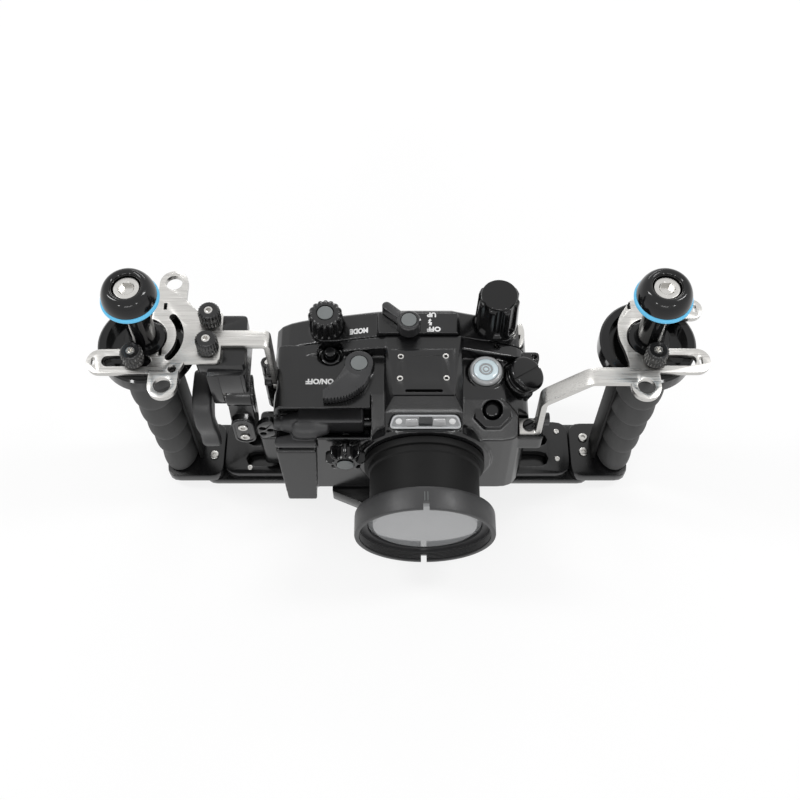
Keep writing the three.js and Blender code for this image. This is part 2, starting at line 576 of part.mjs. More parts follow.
function rightBracket() {
  const b = rightBrace;
  const body = outline([
    [b.rearX, b.rearY, brace.bendRadius], [b.crescentLeft, b.crescentMid + brace.armHalf, brace.armHalf],
    [b.crescentLeft, b.crescentMid - brace.armHalf / 2, brace.armHalf], [b.hipX, b.hipY, brace.bendRadius],
    [b.rootX, b.armRear, brace.bendRadius], [b.rootX, b.armFront], [b.loopX + brace.loopRadius, b.armFront],
    [b.loopX + brace.loopRadius, b.armY], [handle.x, handle.y], [handle.x, b.rearY],
  ]);
  const level = (braceBottom + braceTop) / 2;
  const arm = frontal(strip([
    [b.rootX + brace.bendRadius, level], [b.elbowX, level], [b.legX, b.legTop], [b.legX, b.footZ], [b.footEnd, b.footZ],
  ], brace.thickness, brace.bendRadius / 2), b.armFront, b.armRear, { curve: 3 });
  const plate = join(
    sheet(body),
    sheet(stadium(handle.x, b.rearArmY, b.rearArmX, b.rearArmY, b.rearArmHalf)),
    sheet(stadium(b.armRoot, b.armY, b.armTip, b.armY, brace.armHalf)),
    sheet(stadium(b.loopX, b.loopY, b.loopX, b.armY, brace.loopRadius)),
    arm,
  );
  const pegHole = frontalPeg(b.legX, (b.armFront + b.armRear) / 2, b.pegZ, peg.shank + gap);
  return cut(plate,
    hole(circle(handle.x, handle.y, brace.notchRadius), 8),
    hole(circle(b.loopX, b.loopY, brace.loopHole), 5),
    hole(stadium(b.slotStart, b.armY, b.slotEnd, b.armY, brace.slotRadius)),
    hole(slit(b.rearArmX + brace.windowLength / 2, b.rearArmY)),
    hole(slit(b.armTip + brace.windowLength / 2, b.armY)),
    hole(slit(b.hipX + brace.windowLength, b.rearY - brace.windowLength)),
    pegHole);
}

function knurledScrew(x, y) {
  // A toothed head standing on the sheet, a shank through it and a hex socket on top.
  const low = braceTop + gap;
  const high = low + screw.height;
  const head = upright(lobed(screw.radius, screw.toothDepth, screw.teeth, 2), low, high, { bevel: screw.edge });
  const shank = upright(circle(0, 0, screw.shankRadius), headTop - screw.shankDepth, low + overrun, { curve: 4 });
  const socket = solid(turned(drum(screw.shankRadius, high - overrun, high + overrun), 6));
  return cut(join(head, shank), socket).translate([x, y, 0]);
}

for (const [side, word] of [[-1, 'left'], [1, 'right']]) {
  addPiece(`${word}_handle_foot`, handleFoot(side), 'anodised');
  addPiece(`${word}_handle_spine`, handleSpine(side), 'anodised');
  addPiece(`${word}_handle_grip`, handleGrip(side), 'rubber');
  addPiece(`${word}_handle_head`, handleHead(side), 'anodised');
  addPiece(`${word}_ball_mount`, ballMount(side), 'gloss');
  addPiece(`${word}_ball_ring`, ballRing(side), 'blue');
  addPiece(`${word}_ball_bolt`, ballBolt(side), 'steel');
  addPiece(`${word}_clamp_screw`, knurledScrew(...clampAt(side)), 'anodised');
}
addPiece('left_bracket', leftBracket(), 'steel');
addPiece('right_bracket', rightBracket(), 'steel');
addPiece('bearing_screw_rear', knurledScrew(bearingScrew.x, bearingScrewYs[0]), 'anodised');
addPiece('bearing_screw_front', knurledScrew(bearingScrew.x, bearingScrewYs[1]), 'anodised');

function bracketPeg(x, y, z, size, side) {
  // A short screw across a leg. Its head stands off the side facing -X or +X.
  const profile = [
    [0, -peg.shankLength], [peg.shank, -peg.shankLength], [peg.shank, 0], [size.radius, 0], [size.radius, size.height],
    [0, size.height],
  ];
  const shape = turned(profile, 12).rotateY((side * Math.PI) / 2);
  return solid(shape.translate(x + side * (brace.thickness / 2 + gap), y, z));
}

addPiece('right_bracket_peg', bracketPeg(rightBrace.legX, (rightBrace.armFront + rightBrace.armRear) / 2,
  rightBrace.pegZ, peg.right, 1), 'plastic');
addPiece('left_bracket_peg', bracketPeg(leftBrace.legX, brace.strapRear - brace.armHalf / 2,
  leftBrace.legBottom + brace.armHalf, peg.left, -1), 'plastic');

// Front shell

function shellOutline() {
  return outline([
    [shell.left, shell.bottom, shell.corner], [shell.right, shell.bottom, shell.corner],
    [shell.right, shell.shoulderZ, shell.corner / 2], [shell.shoulderX, shell.deckRight, shell.corner / 2],
    [hump.right, shell.deckRight], [hump.left, shell.deckLeft], [braceSeat.right, shell.deckLeft, shell.corner / 2],
    [shell.left, shell.shoulderZ + shell.corner, shell.corner / 2],
  ]);
}

function rimOutline(spread = 0) {
  // The raised arch along the seam, which the door repeats.
  const { rimTop, rimLeft } = shell;
  const { dropLow: low, dropMid: mid, dropHigh: high } = rim;
  return outline([
    [rimLeft - spread, shell.bottom, shell.corner], [shell.right + spread, shell.bottom, shell.corner],
    [shell.right + spread, rimTop - rim.rightDrop, shell.corner / 2], [rim.shoulderX, rimTop - rim.shoulderDrop, shell.corner],
    [hump.right, rimTop - low, shell.corner / 2], [hump.right - shell.corner / 2, rimTop], [hump.left, rimTop, shell.corner],
    [rim.leftMidX, rimTop - mid, shell.corner], [rim.leftLowX, rimTop - high, shell.corner],
    [rimLeft - spread, rimTop - rim.leftDrop, shell.corner],
  ]);
}

function bayOutline(inset = 0) {
  return rectangle(shell.bayLeft + inset, shell.bayRight - inset, shell.bayBottom + inset, shell.bayTop - inset,
    shell.bayCorner);
}

function shellPlan() {
  return outline([
    [shell.left, shell.front, shell.frontLeftRound], [shell.right, shell.front, shell.frontRound],
    [shell.right, shell.seam], [shell.left, shell.seam],
  ]);
}

function shellBlank() {
  const bevelled = frontal(shellOutline(), shell.front, shell.seam + shell.corner,
    { bevel: shell.frontLeftRound / 2, curve: 3 });
  const plan = upright(shellPlan(), 0, shell.rimTop + overrun, { curve: 5 });
  const slope = lateral(outline([
    [shell.front - overrun * 2, shell.slopeFootZ - overrun * 2], [shell.slopeHeadY + overrun * 2, shell.deckLeft + overrun * 2],
    [shell.front - overrun * 2, shell.rimTop],
  ]), shutter.recessRight, shell.right + overrun);
  const rimBand = frontal(rimOutline(), shell.seam - shell.rimDepth, shell.seam, { curve: 3 });
  return join(cut(bevelled.intersect(plan), slope), rimBand);
}

function humpBlank() {
  // The roof narrows towards the nose. The flash window's sloping face keeps the full width.
  const profile = [
    [shell.seam, hump.root], [shell.seam, hump.top], [hump.topFront, hump.noseTop], [hump.windowFront, hump.windowTop],
    [hump.chinFront, hump.chinTop], [hump.chinFront, hump.root],
  ];
  const sides = profile.flatMap(([y, z]) => [[hump.left, y, z], [hump.right, y, z]]);
  const nose = [[hump.topFront, hump.top, 1], [hump.noseFront, hump.noseTop, 1 / 2]].flatMap(([y, z, share]) => [
    [hump.left + hump.leftTaper * share, y, z], [hump.right - hump.rightTaper * share, y, z]]);
  return wasm.Manifold.hull([...sides, ...nose]);
}

function windowFrame() {
  // Centre and lean of the sloping face that holds the flash window.
  const y = (hump.windowFront + hump.chinFront) / 2;
  const z = (hump.windowTop + hump.chinTop) / 2;
  const lean = Math.atan2(hump.windowFront - hump.chinFront, hump.windowTop - hump.chinTop);
  return { y, z, lean };
}

function windowShape(inset) {
  const half = flashWindow.height / 2 - inset;
  return outline([
    [-flashWindow.halfBottom + inset, -half], [flashWindow.halfBottom - inset, -half],
    [flashWindow.halfTop - inset, half], [-flashWindow.halfTop + inset, half],
  ], flashWindow.corner);
}

function onSlope(shape, depthIn, depthOut) {
  const frame = windowFrame();
  const slab = prism(shape, depthIn + depthOut, { curve: 3 }).translate(0, 0, -depthIn);
  slab.rotateX(Math.PI / 2 - frame.lean);
  return solid(slab.translate((hump.left + hump.right) / 2 + flashWindow.shift, frame.y, frame.z));
}

function tilted(geometry, place) {
  // Port lock button and its boss lean forward, towards the port.
  return solid(geometry.rotateX(radians(place.tilt)).translate(place.x, place.y, place.z));
}

function tiltedSide(geometry, place) {
  // The accessory plug and its boss lean to the right.
  return solid(geometry.rotateY(radians(place.tilt)).translate(place.x, place.y, place.z));
}

function frontLug(part) {
  return upright(rectangle(part.left, part.right, part.front, part.rear, part.corner), part.bottom, part.top,
    { curve: 3, bevel: part.corner / 3 });
}

function shellAdditions() {
  const collar = turnedForward(drum(port.collarRadius, -shell.front - overrun * 2, -port.collarFront, port.edge), port.x,
    port.z, 30);
  const finger = lateral(outline([
    [shell.front + overrun, shell.bottom], [bump.bottomFront, shell.bottom, bump.edge],
    [bump.topFront, bump.top, bump.edge], [shell.front + overrun, bump.top],
  ]), bump.left, bump.right, { bevel: bump.edge / 2 }).intersect(frontal(outline([
    [bump.left + bump.taper, shell.bottom, bump.edge], [bump.right - bump.taper, shell.bottom, bump.edge],
    [bump.right, bump.top], [bump.left, bump.top],
  ]), bump.bottomFront - overrun, shell.front + overrun * 2));
  const left = frontLug({ ...sideLug, right: shell.left + sideLug.corner * 2 });
  const right = frontLug({ ...braceLug, left: shell.right - shell.frontRound / 2 });
  const earLug = cut(upright(rectangle(shell.right - shell.corner, ear.right, ear.front, shell.seam, overrun),
    ear.bottom, ear.top), turnedUp(drum(ear.hole, ear.bottom - overrun, ear.top + overrun),
    ear.right - ear.hole * 2, (ear.front + shell.seam) / 2, 10));
  const lockBoss = tilted(turned(drum(lockButton.boss, -lockButton.depth * 2, 0, port.edge), 8).rotateZ(Math.PI / 8),
    lockButton);
  const plugBoss = tiltedSide(turned(drum(plug.boss, -plug.bossHeight * 2, 0, plug.edge), 18), plug);
  const ledSeat = turnedUp(drum(indicator.seat, shell.deckRight - overrun, shell.deckRight + indicator.seatHeight),
    indicator.x, indicator.y, 18);
  const ears = [];
  for (const [low, high] of hingeEars()) {
    const knuckle = turnedUp(drum(hinge.knuckleRadius, low, high), hinge.x, hinge.y, 12);
    const web = box(hinge.x, shell.left + gap, shell.seam - hinge.knuckleRadius * 2, shell.seam, low, high);
    ears.push(join(knuckle, web));
  }
  return [collar, finger, left, right, earLug, lockBoss, plugBoss, ledSeat, ...ears];
}

function hingeEars() {
  return [[hinge.bottom, hinge.bottom + hinge.earLength], [hinge.top - hinge.earLength, hinge.top]];
}

function shellCavities() {
  const bay = frontal(bayOutline(), shell.bayStep, shell.seam + overrun, { curve: 3 });
  const low = frontal(rectangle(shell.bayLeft, shell.bayRight - shell.frontRound / 2, shell.bayBottom, shell.bayLowTop,
    shell.bayCorner), shell.bayFront, shell.bayStep + overrun, { curve: 3 });
  const loft = lateral(outline([
    [shell.seam - shell.rimDepth, shell.bayTop - overrun], [shell.seam - shell.rimDepth, hump.top - hump.roof],
    [hump.topFront + hump.wall, hump.top - hump.roof], [hump.topFront + hump.wall, shell.bayLowTop + shell.bayCorner],
    [shell.bayStep + overrun, shell.bayLowTop + shell.bayCorner],
  ]), hump.left + hump.wall, hump.right - hump.wall);
  const throat = turnedForward(drum(port.barrelBore, -shell.bayFront - overrun, -port.collarFront + overrun), port.x,
    port.z, 22);
  return [bay, low, loft, throat];
}

function shutterRecess() {
  const s = shutter;
  const high = shell.rimTop;
  const ahead = s.paddleFront * 2;
  const paddle = box(shell.left - overrun, s.paddleRight + s.recessGap / 2, ahead, s.roofFront, s.paddleFloor, high);
  const above = box(shell.left - overrun, s.recessRight, ahead, s.roofFront, s.wallTop, high);
  const cove = turned(drum(s.radius + s.recessGap, 0, s.recessRight - shell.left + overrun), 16).rotateY(Math.PI / 2);
  const pin = turned(drum(s.pinRadius + gap, 0, s.pinEnd - s.recessRight + overrun + gap), 10).rotateY(Math.PI / 2);
  return [paddle, above, solid(cove.translate(shell.left - overrun, s.y, s.z)),
    solid(pin.translate(s.recessRight - overrun, s.y, s.z))];
}

function latchPocket() {
  return turnedUp(drum(latch.hookOuter + latch.pocketGap * 2, latch.hookBottom - latch.pocketGap,
    latch.hookTop + latch.pocketGap), latch.x, latch.y, 22);
}

function keeperAt() {
  return [latch.x, latch.y - latch.keeperDistance];
}

function stemBore(x, y, low, high, radius = stem.radius) {
  return turnedUp(drum(radius + stem.clearance, low, high), x, y, 12);
}

function shellCuts() {
  const { recessX, recessY, recessHalf, recessDepth, slotHalf, slotY, slotWidth, top } = hump;
  const square = upright(rectangle(recessX - recessHalf, recessX + recessHalf, recessY - recessHalf,
    recessY + recessHalf), top - recessDepth, top + overrun);
  const slot = upright(rectangle(recessX - slotHalf, recessX + slotHalf, slotY - slotWidth / 2, slotY + slotWidth / 2),
    top - slotWidth, top + overrun);
  const flashSeat = onSlope(windowShape(-gap), flashWindow.thickness + gap, overrun * 2);
  const flashHole = onSlope(windowShape(flashWindow.corner / 2), flashWindow.thickness * 4, overrun);
  const power = turnedUp(drum(powerButton.recess, powerButton.floor, shell.rimTop), powerButton.x, powerButton.y, 18);
  const seat = box(shell.left - overrun, leftBrace.legX + brace.thickness / 2 + gap, braceSeat.front, braceSeat.rear,
    leftBrace.legBottom - gap, shell.rimTop + overrun);
  const pegBore = frontalPeg(leftBrace.legX + peg.shankLength / 2, brace.strapRear - brace.armHalf / 2,
    leftBrace.legBottom + brace.armHalf, peg.shank + gap);
  const lockPocket = tilted(turned(drum(lockButton.recess, -lockButton.depth, overrun), 18), lockButton);
  const plugClearing = tiltedSide(turned(drum(plug.boss, 0, shell.corner * 2), 18), plug);
  const plugBore = tiltedSide(turned(drum(plug.bore + gap, -plug.bossHeight - gap, overrun), 16), plug);
  const ledBore = turnedUp(drum(indicator.radius - indicator.rim * 2, shell.bayTop - overrun, shell.rimTop),
    indicator.x, indicator.y, 16);
  const hingeBore = turnedUp(drum(hinge.pinRadius + gap, hinge.bottom - overrun, hinge.top + overrun), hinge.x,
    hinge.y, 12);
  const knobBore = turnedForward(drum(stem.radius + stem.clearance, -frontKnob.back - stem.length, -frontKnob.back),
    frontKnob.x, frontKnob.z, 12);
  const keeperBore = turnedUp(drum(latch.keeperRadius + gap, shell.bayTop + overrun / 2, shell.rimTop),
    ...keeperAt(), 12);
  const footSeat = box(rightBrace.footEnd - rightBrace.seatGap, shell.right + overrun, shell.front - overrun,
    rightBrace.armRear + rightBrace.seatGap, braceLug.top, shell.rimTop);
  return [
    square, slot, flashSeat, flashHole, power, seat, pegBore, lockPocket, plugClearing, plugBore, ledBore, hingeBore, knobBore,
    latchPocket(), keeperBore, footSeat, stemBore(zoomLever.x, zoomLever.y, shell.bayTop - overrun, shell.rimTop),
    stemBore(powerButton.x, powerButton.y, shell.bayTop - overrun, shell.rimTop),
    ...shutterRecess(), ...shellCavities(),
  ];
}

function powerBush() {
  const b = powerButton;
  const low = b.floor - b.travel - gap;
  const high = b.floor + b.bushHeight;
  const inner = b.radius + stem.clearance;
  return turnedUp([[inner, low], [b.bush, low], [b.bush, high], [inner, high], [inner, low]], b.x, b.y, 18);
}

function frontShell() {
  const zoomBoss = turnedUp(drum(zoomLever.radius, shell.deckLeft - overrun, zoomLever.bottom - gap), zoomLever.x,
    zoomLever.y, 16);
  const blank = join(shellBlank(), humpBlank(), zoomBoss, ...shellAdditions());
  const power = powerButton;
  const well = turnedUp(drum(power.radius + stem.clearance, power.floor - power.travel - gap, shell.rimTop), power.x, power.y, 16);
  return cut(join(cut(blank, ...shellCuts()), powerBush()), well);
}

addPiece('front_shell', frontShell(), 'anodised');

// Fixed pieces on the shell

function flashPane() {
  return onSlope(windowShape(0), flashWindow.thickness, 0);
}

function portBarrel() {
  // The flange bolts to the shell's collar. The barrel and a low step stand on it.
  const back = -port.collarFront + gap;
  const shoulder = back + port.flangeThickness;
  const front = -port.barrelFront;
  const { flangeRadius, barrelRadius, barrelBore, barrelStep, barrelStepLength, edge } = port;
  return turnedForward([
    [barrelBore, back], [flangeRadius, back], [flangeRadius, shoulder - edge], [flangeRadius - edge, shoulder],
    [barrelRadius + barrelStep, shoulder], [barrelRadius + barrelStep, shoulder + barrelStepLength],
    [barrelRadius, shoulder + barrelStepLength + barrelStep], [barrelRadius, front], [barrelBore, front],
    [barrelBore, back],
  ], port.x, port.z, 30);
}

function portFrontRing() {
  const back = -port.barrelFront + gap;
  const front = -port.ringFront;
  const { ringRadius, ringBore, webThickness, edge, barrelBore, glassRadius, glassThickness } = port;
  const ring = turnedForward([
    [barrelBore, back], [ringRadius - edge, back], [ringRadius, back + edge], [ringRadius, front - edge],
    [ringRadius - edge, front], [ringBore, front], [ringBore, back + webThickness + glassThickness],
    [glassRadius + gap, back + webThickness + glassThickness], [glassRadius + gap, back + webThickness],
    [barrelBore, back + webThickness], [barrelBore, back],
  ], port.x, port.z, 30);
  const notch = box(port.x - port.notchWidth / 2, port.x + port.notchWidth / 2, port.ringFront - overrun,
    port.ringFront + port.notchDepth, port.z - port.ringRadius * 2, port.z + port.ringRadius * 2);
  return cut(ring, notch);
}

function portGlass() {
  const back = -port.barrelFront + port.webThickness + gap * 2;
  const front = back + port.glassThickness;
  const bevel = (port.glassRadius - port.glassFace) / 2;
  return turnedForward([
    [0, back], [port.glassRadius, back], [port.glassRadius, front - bevel], [port.glassFace, front], [0, front],
  ], port.x, port.z, 32);
}

function leakIndicator() {
  const low = shell.deckRight + indicator.seatHeight + gap;
  const { radius, rim: edge, height } = indicator;
  return turnedUp([
    [0, low], [radius, low], [radius, low + edge], [radius - edge, low + edge + gap], [radius - edge * 2, low + height - gap * 3],
    [radius / 2, low + height], [0, low + height],
  ], indicator.x, indicator.y, 18);
}

function accessoryPlug() {
  const collarTop = gap + plug.collarHeight;
  const neckTop = collarTop + plug.neckHeight;
  const top = neckTop + plug.capHeight;
  const body = turned([
    [0, -plug.bossHeight], [plug.bore, -plug.bossHeight], [plug.bore, gap], [plug.collar, gap], [plug.collar, collarTop],
    [plug.neck, collarTop], [plug.neck, neckTop], [plug.cap, neckTop], [plug.cap, top - plug.edge],
    [plug.cap - plug.edge, top], [0, top],
  ], 22);
  const slot = new THREE.BoxGeometry(plug.cap * 4, plug.slotWidth, plug.slotDepth * 2).translate(0, 0, top);
  slot.rotateZ(radians(plug.slotTurn));
  return cut(tiltedSide(body, plug), tiltedSide(slot, plug));
}

function cameraSaddle() {
  const low = shell.bayBottom + gap;
  const base = upright(rectangle(saddle.left, saddle.right, saddle.front, saddle.rear, saddle.corner), low,
    low + saddle.thickness);
  const stop = box(saddle.left, saddle.left + saddle.boot, saddle.front + saddle.corner, saddle.rear - saddle.corner,
    low + saddle.thickness / 2, low + saddle.thickness + saddle.bootHeight);
  const screwBore = turnedUp(drum(saddle.screwRadius, low - overrun, low + overrun * 3), (saddle.left + saddle.right) / 2,
    (saddle.front + saddle.rear) / 2, 16);
  return cut(join(base, stop), screwBore);
}

addPiece('flash_window', flashPane(), 'clear');
addPiece('port_barrel', portBarrel(), 'gloss');
addPiece('port_front_ring', portFrontRing(), 'anodised');
addPiece('port_glass', portGlass(), 'lens');
addPiece('leak_indicator', leakIndicator(), 'clear');
addPiece('accessory_plug', accessoryPlug(), 'anodised');
addPiece('camera_saddle', cameraSaddle(), 'anodised');
addPiece('hinge_pin', turnedUp(drum(hinge.pinRadius, hinge.bottom, hinge.top), hinge.x, hinge.y, 16), 'steel');
addPiece('latch_keeper', turnedUp(drum(latch.keeperRadius, shell.bayTop + overrun / 2 + gap, latch.hookTop + overrun),
  ...keeperAt(), 12), 'steel');

// Rear door

function doorBlank() {
  const skin = frontal(rimOutline(), door.front, door.rear, { bevel: door.edge, curve: 3 });
  const facing = box(-handle.x, handle.x, door.front - overrun * 2, door.front, 0, ballZ);
  const tail = frontal(rimOutline(), door.front, door.front + door.edge * 2, { curve: 3 });
  const trimmed = join(cut(skin, facing), tail);
  const block = frontal(outline([
    [door.blockLeft, shell.bayTop + overrun], [door.blockRight, shell.bayTop + overrun],
    [door.blockRight, door.blockTop, door.edge], [door.blockLeft, door.blockTop, door.edge],
  ]), door.front, door.blockRear);
  const modeBoss = turnedUp(drum(modeKnob.radius, shell.bayTop + overrun, modeKnob.bottom - gap), modeKnob.x,
    modeKnob.y, 18);
  const latchBoss = turnedUp(drum(latch.bossRadius, latch.hookTop + overrun, latch.knobBottom - gap), latch.x, latch.y, 22);
  const knuckle = hingeBarrel();
  return cut(join(trimmed, block, modeBoss, latchBoss, knuckle), box(shell.rimLeft, shell.right, 0, door.front, 0, ballZ));
}

function hingeBarrel() {
  const low = hinge.bottom + hinge.earLength + gap;
  const high = hinge.top - hinge.earLength - gap;
  const barrel = turnedUp(drum(hinge.knuckleRadius, low, high), hinge.x, hinge.y, 12);
  const web = box(hinge.x, shell.rimLeft + door.edge * 2, door.front + overrun, door.front + overrun + hinge.knuckleRadius,
    low, high);
  return join(barrel, web);
}

function doorLip() {
  // The lip enters the bay and centres the door.
  const outer = frontal(bayOutline(gap * 2), door.front - door.lipDepth, door.front + overrun, { curve: 3 });
  const inner = frontal(bayOutline(door.lip), door.front - door.lipDepth - overrun, door.front + overrun * 2, { curve: 3 });
  return cut(outer, inner);
}

function sealRing(inset, front, back) {
  const outer = frontal(bayOutline(-door.sealWidth - door.sealInset + inset), front, back, { curve: 3 });
  const inner = frontal(bayOutline(-door.sealInset - inset), front - overrun, back + overrun, { curve: 3 });
  return cut(outer, inner);
}

const buttonSpots = [
  ['upper_left', -1, 1], ['upper_right', 1, 1], ['lower_left', -1, -1], ['lower_right', 1, -1],
].map(([word, across, up]) => ({
  name: `rear_button_${word}`, x: rear.x + across * rear.spreadX, z: rear.z + up * rear.spreadZ,
}));

function rearBore(x, z, radius, front, back) {
  return turnedForward(drum(radius, -back, -front), x, z, 10);
}

function rearDoor() {
  const cavity = frontal(bayOutline(door.lip), door.front - overrun * 2, door.rear - door.wall, { curve: 3 });
  const pane = rectangle(door.windowLeft, door.windowRight, door.windowBottom, door.windowTop, door.windowCorner);
  const ledge = rectangle(door.windowLeft - door.ledge, door.windowRight + door.ledge, door.windowBottom - door.ledge,
    door.windowTop + door.ledge, door.windowCorner);
  const cutters = [
    cavity, frontal(pane, door.rear - door.wall - overrun, door.rear + overrun, { curve: 3 }),
    frontal(ledge, door.rear - door.ledgeDepth, door.rear + overrun, { curve: 3 }),
    sealRing(-gap / 2, door.front - overrun, door.front + door.sealGroove),
    turnedUp(drum(hinge.pinRadius + gap, hinge.bottom - overrun, hinge.top + overrun), hinge.x, hinge.y, 12),
    latchPocket(),
    turnedUp(drum(latch.bossRadius, latch.knobBottom - gap, latch.knobTop), latch.x, latch.y, 22),
    turnedUp(drum(modeKnob.radius + gap * 2, modeKnob.bottom - gap, modeKnob.top), modeKnob.x, modeKnob.y, 18),
    stemBore(latch.x, latch.y, latch.hookBottom, latch.knobBottom + overrun, latch.stemRadius),
    stemBore(modeKnob.x, modeKnob.y, shell.bayTop - overrun * 2, modeKnob.bottom + overrun),
    stemBore(flashLever.x, flashLever.y + door.flashSetback, shell.bayTop - overrun * 2, door.blockTop + overrun),
    rearBore(rear.x, rear.z, stem.radius + stem.clearance, door.rear - door.wall - overrun, door.rear + overrun),
  ];
  for (const spot of buttonSpots) {
    cutters.push(rearBore(spot.x, spot.z, rear.recess, door.rear - rear.recessDepth, door.rear + overrun));
    cutters.push(rearBore(spot.x, spot.z, stem.radius + stem.clearance, door.rear - stem.length, door.rear));
  }
  return cut(join(doorBlank(), doorLip()), ...cutters);
}

function doorPane() {
  const { windowLeft, windowRight, windowBottom, windowTop, windowCorner, ledge, ledgeDepth } = door;
  const inset = ledge - gap;
  const shape = rectangle(windowLeft - inset, windowRight + inset, windowBottom - inset, windowTop + inset, windowCorner);
  return frontal(shape, door.rear - ledgeDepth + gap, door.rear, { curve: 3 });
}

addPiece('rear_door', rearDoor(), 'anodised');
addPiece('door_window', doorPane(), 'clear');
addPiece('door_seal', sealRing(gap / 2, door.front, door.front + door.sealGroove - gap), 'rubber');

// Controls on the door

function latchKnob() {
  // A tapered grip whose flutes run out below the flat top and above the plain skirt.
  const { knobBottom, knobTop, knobRadius, knobTopRadius, flutes, fluteDepth, skirt } = latch;
  const low = knobBottom + skirt;
  const levels = [
    [knobRadius, knobBottom, 0], [knobRadius, low, 0], [knobRadius, low + fluteDepth, 1],
    [knobTopRadius, knobTop - fluteDepth * 2, 1], [knobTopRadius, knobTop - fluteDepth, 0],
    [knobTopRadius - gap, knobTop, 0],
  ];
  const profile = [[0, knobBottom], ...levels.map(([radius, z]) => [radius, z]), [0, knobTop]];
  const geometry = turned(profile, flutes * 4);
  const place = geometry.attributes.position;
  for (let i = 0; i < place.count; i += 1) {
    const [x, y, z] = [place.getX(i), place.getY(i), place.getZ(i)];
    const level = levels.find(([, height]) => Math.abs(height - z) < merge);
    const radius = Math.hypot(x, y);
    if (!level || radius < fluteDepth) continue;
    const wave = Math.max(Math.cos(Math.atan2(y, x) * flutes), 0);
    const scale = (radius - fluteDepth * level[2] * wave ** latchShares.fluteRound) / radius;
    place.setXY(i, x * scale, y * scale);
  }
  const shank = turned(drum(latch.stemRadius, latch.hookBottom, knobBottom + overrun), 14);
  return join(solid(geometry), solid(shank)).translate([latch.x, latch.y, 0]);
}

function latchHook() {
  const { hookInner, hookOuter, hookBottom, hookTop, hookHub, stemRadius } = latch;
  const [start, end, arm] = ['hookStart', 'hookEnd', 'armStart'].map((key) => latchShares[key] * Math.PI);
  const arc = upright(sector(hookInner, hookOuter, start, end), hookBottom, hookTop, { curve: 3 });
  const wedge = upright(sector(stemRadius + gap, hookOuter - gap, arm, end), hookBottom, hookTop, { curve: 4 });
  const hub = upright(circle(0, 0, hookHub), hookBottom, hookTop);
  const bore = solid(turned(drum(stemRadius + gap, hookBottom - overrun, hookTop + overrun), 14));
  return cut(join(arc, wedge, hub), bore).translate([latch.x, latch.y, 0]);
}

function capDisc(part, x, y, thickness = gap * 2) {
  // A pale disc let into the top of a control.
  return turnedUp(drum(part.cap, part.top - thickness, part.top + gap), x, y, 14);
}

function capSeat(part, x, y) {
  return turnedUp(drum(part.cap + gap, part.top - gap * 3, part.top + overrun), x, y, 14);
}

function fluteKnob() {
  const { x, y, radius, lobeDepth, lobes, bottom, top, edge } = modeKnob;
  const grip = upright(lobed(radius, lobeDepth, lobes, 3), bottom, top, { bevel: edge }).translate([x, y, 0]);
  const shank = turnedUp(drum(stem.radius, bottom - stem.length, bottom + overrun), x, y, 8);
  return cut(join(grip, shank), capSeat(modeKnob, x, y));
}

function flashArm() {
  const { radius, bottom, top, reach, armHalf, edge } = flashLever;
  const hub = solid(turned(drum(radius, bottom, top, edge), 18));
  const heading = radians(flashLever.heading);
  const [tipX, tipY] = [reach * Math.cos(heading), reach * Math.sin(heading)];
  const arm = upright(stadium(0, 0, tipX, tipY, armHalf), bottom, top - edge * 2, { curve: 4, bevel: gap });
  const shank = turned(drum(stem.radius, bottom - stem.length * 2, bottom + overrun), 8);
  const lever = join(hub, arm, solid(shank)).translate([flashLever.x, flashLever.y + door.flashSetback, 0]);
  return cut(lever, capSeat(flashLever, flashLever.x, flashLever.y + door.flashSetback));
}

function zoomPaddle() {
  // A hub and a curved paddle whose outer edge is toothed.
  const z = zoomLever;
  const hub = turnedUp(drum(z.radius, z.bottom, z.top, z.edge), z.x, z.y, 18);
  const curve = new THREE.QuadraticBezierCurve(
    new THREE.Vector2(z.x + z.radius, z.y), new THREE.Vector2(z.bellyX, z.bellyY), new THREE.Vector2(z.tipX, z.tipY));
  const rim = curve.getPoints(z.teeth * 2);
  const outer = rim.map((point, i) => {
    const ahead = rim[Math.min(i + 1, rim.length - 1)];
    const behind = rim[Math.max(i - 1, 0)];
    const normal = new THREE.Vector2(behind.y - ahead.y, ahead.x - behind.x).normalize();
    const depth = i % 2 === 1 && i > z.teeth ? z.toothDepth : 0;
    return [point.x - normal.x * depth, point.y - normal.y * depth];
  });
  const shape = outline([...outer, [z.tipX - z.toothDepth, z.tipY + z.tipWidth], [z.elbowX, z.elbowY],
    [z.innerX, z.innerY], [z.x - z.radius, z.y]]);
  const paddle = upright(shape, z.bottom, z.top - z.edge, { bevel: 0 });
  const shank = turnedUp(drum(stem.radius, z.bottom - stem.length, z.bottom + overrun), z.x, z.y, 8);
  return cut(join(hub, paddle, shank), capSeat(z, z.x, z.y));
}

addPiece('latch_knob', latchKnob(), 'gloss');
addPiece('latch_hook', latchHook(), 'steel');
addPiece('mode_knob', fluteKnob(), 'anodised');
addPiece('mode_knob_cap', capDisc(modeKnob, modeKnob.x, modeKnob.y), 'capGrey');
addPiece('flash_lever', flashArm(), 'anodised');
addPiece('flash_lever_cap', capDisc(flashLever, flashLever.x, flashLever.y + door.flashSetback), 'capGrey');
addPiece('zoom_lever', zoomPaddle(), 'anodised');
addPiece('zoom_lever_cap', capDisc(zoomLever, zoomLever.x, zoomLever.y), 'capGrey');

// Push buttons and wheels

function powerPush() {
  const b = powerButton;
  const low = b.floor + gap;
  return turnedUp([
    [0, low - stem.length], [stem.radius, low - stem.length], [stem.radius, low], [b.radius, low],
    [b.radius, b.top - gap], [b.radius - gap, b.top], [0, b.top],
  ], b.x, b.y, 16);
}

